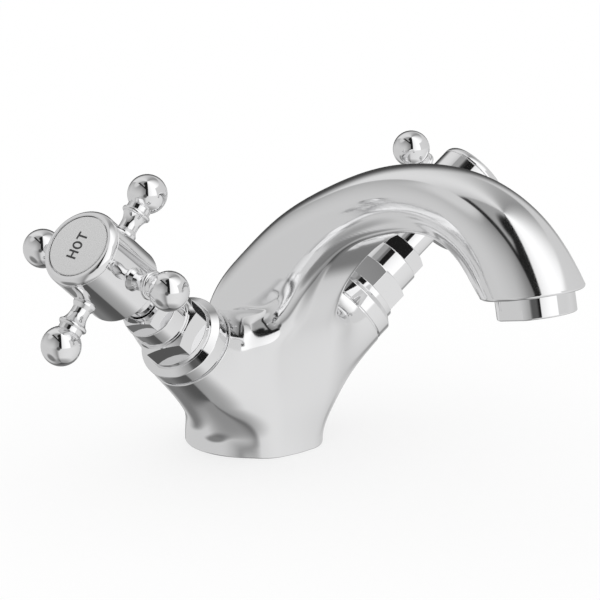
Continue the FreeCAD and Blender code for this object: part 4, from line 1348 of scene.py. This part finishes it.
def studio_light(sums, way):
    """What polished metal sees: pale walls, a grey card on the left under a dark gap, and a pale floor."""
    edge, mix = sums.edge, sums.mix
    rise = sums.vector("DOT_PRODUCT", way, (0, 0, 1), "Value")
    level = sums.vector("NORMALIZE", sums.vector("MULTIPLY", way, (1, 1, 0)), (0, 0, 0))

    def to(bearing):
        return sums.vector("DOT_PRODUCT", level, studio_way(bearing, 0), "Value")

    def near(bearing, height, low, high):
        close = sums.vector("DOT_PRODUCT", way, studio_way(bearing, height), "Value")
        return edge(math.cos(math.radians(low)), math.cos(math.radians(high)), close)

    def over(bearing, height, low, high):
        """Past the slanting plane that stands highest at a bearing."""
        past = sums.vector("DOT_PRODUCT", way, studio_way(bearing + 180, 90 - height), "Value")
        return edge(low, high, past)

    bright = sums.product(sums.maths("MAXIMUM", to(55), 0.0), 0.88)
    behind = sums.maths("MAXIMUM", to(-140), 0.0)
    wall = sums.maths("ADD", bright, sums.product(behind, behind, 0.5))
    wall = sums.maths("ADD", wall, 0.27)
    right_card = sums.product(edge(0.0, 0.06, to(148)), edge(0.63, 0.55, rise), edge(-0.3, 0.2, to(90)))
    wall = mix(wall, RIGHT_CARD, sums.product(right_card, 0.95))
    wall = mix(wall, BACK_WALL, near(-175, 2, 39, 9))
    gap = sums.product(edge(0.02, -0.02, to(99)), edge(-0.05, 0.05, to(-10)))
    wall = mix(wall, DARK_GAP, gap)
    ceiling = sums.product(over(-65, 61, -0.03, 0.03), near(-14, 73, 8, 15), edge(0.05, -0.1, to(70)), gap)
    wall = mix(wall, CEILING, ceiling)
    left_card = sums.product(over(-65, 54.5, 0.015, -0.015), edge(0.02, -0.02, to(83)),
                             edge(-0.05, 0.15, to(-65)))
    shade = sums.maths("SUBTRACT", 0.64, sums.product(rise, rise, 0.62))
    shade = sums.product(shade, mix(0.55, 1.0, edge(-0.2, -0.75, to(90))))
    shade = sums.product(shade, mix(0.6, 1.0, edge(-0.1, 0.7, to(-65))))
    shade = mix(shade, LEFT_GLOW, near(-100, 46, 22, 10))
    wall = mix(wall, shade, left_card)
    floor = sums.maths("ADD", sums.product(sums.maths("MAXIMUM", to(50), 0.0), 0.17), 0.63)
    wedge = sums.product(edge(-0.85, -0.1, to(90)), edge(-0.05, -0.4, to(90)), edge(-0.2, 0.3, to(0)))
    floor = mix(floor, FLOOR_WEDGE, wedge)
    floor = mix(floor, FLOOR_LEFT, near(-80, -49, 24, 10))
    floor = mix(floor, FLOOR_BACK, sums.product(edge(0.68, 0.88, to(180)), edge(-0.35, -0.6, rise)))
    floor = mix(floor, FLOOR_HORIZON, near(-176, -2, 24, 8))
    # Darker straight down: painted shade standing in for the tap's own shadow on the floor beneath it, as
    # polished metal sees it
    floor = sums.product(floor, mix(1.0, 0.45, edge(-0.78, -1.0, rise)))
    whole = mix(floor, wall, edge(-0.06, 0.04, rise))
    return mix(whole, SIDE_SLOT, near(-9, 0, 14, 5))


def world():
    """White to the camera, the studio in polished metal, and plain even light for the rest."""
    made = bpy.data.worlds.new("studio")
    bpy.context.scene.world = made
    made.use_nodes = True
    sums = Sums(made.node_tree)
    way = sums.node("ShaderNodeTexCoord", {}).outputs["Generated"]
    path = sums.node("ShaderNodeLightPath", {}).outputs
    mirrored = sums.maths("MAXIMUM", path["Is Glossy Ray"], path["Is Transmission Ray"])
    strength = sums.mix(EVEN_LIGHT, studio_light(sums, way), mirrored)
    strength = sums.mix(strength, 1.0, path["Is Camera Ray"])
    background = made.node_tree.nodes["Background"]
    background.inputs["Color"].default_value = (1, 1, 1, 1)
    made.node_tree.links.new(strength, background.inputs["Strength"])


def floor():
    """A pale floor that the camera sees as white but for the soft shadow on it."""
    half = FLOOR_SIZE / 2 * MM
    mesh = bpy.data.meshes.new("floor")
    corners = [(-half, -half, 0), (half, -half, 0), (half, half, 0), (-half, half, 0)]
    mesh.from_pydata(corners, [], [(0, 1, 2, 3)])
    made = bpy.data.objects.new("floor", mesh)
    made.location.z = -FLOOR_DROP * MM
    bpy.context.scene.collection.objects.link(made)
    material, sums, inputs = shader("pale_floor", base_color=(FLOOR_SHADE, FLOOR_SHADE, FLOOR_SHADE, 1),
                                    roughness=1.0, specular_ior_level=0.0, emission_color=(1, 1, 1, 1))
    seen = sums.node("ShaderNodeLightPath", {}).outputs["Is Camera Ray"]
    lift = sums.product(seen, 1 - FLOOR_SHADE * EVEN_LIGHT)
    sums.tree.links.new(lift, inputs["Emission Strength"])
    mesh.materials.append(material)
    made.visible_glossy = False


camera()
world()
floor()
bpy.context.scene.view_settings.view_transform = "Standard"
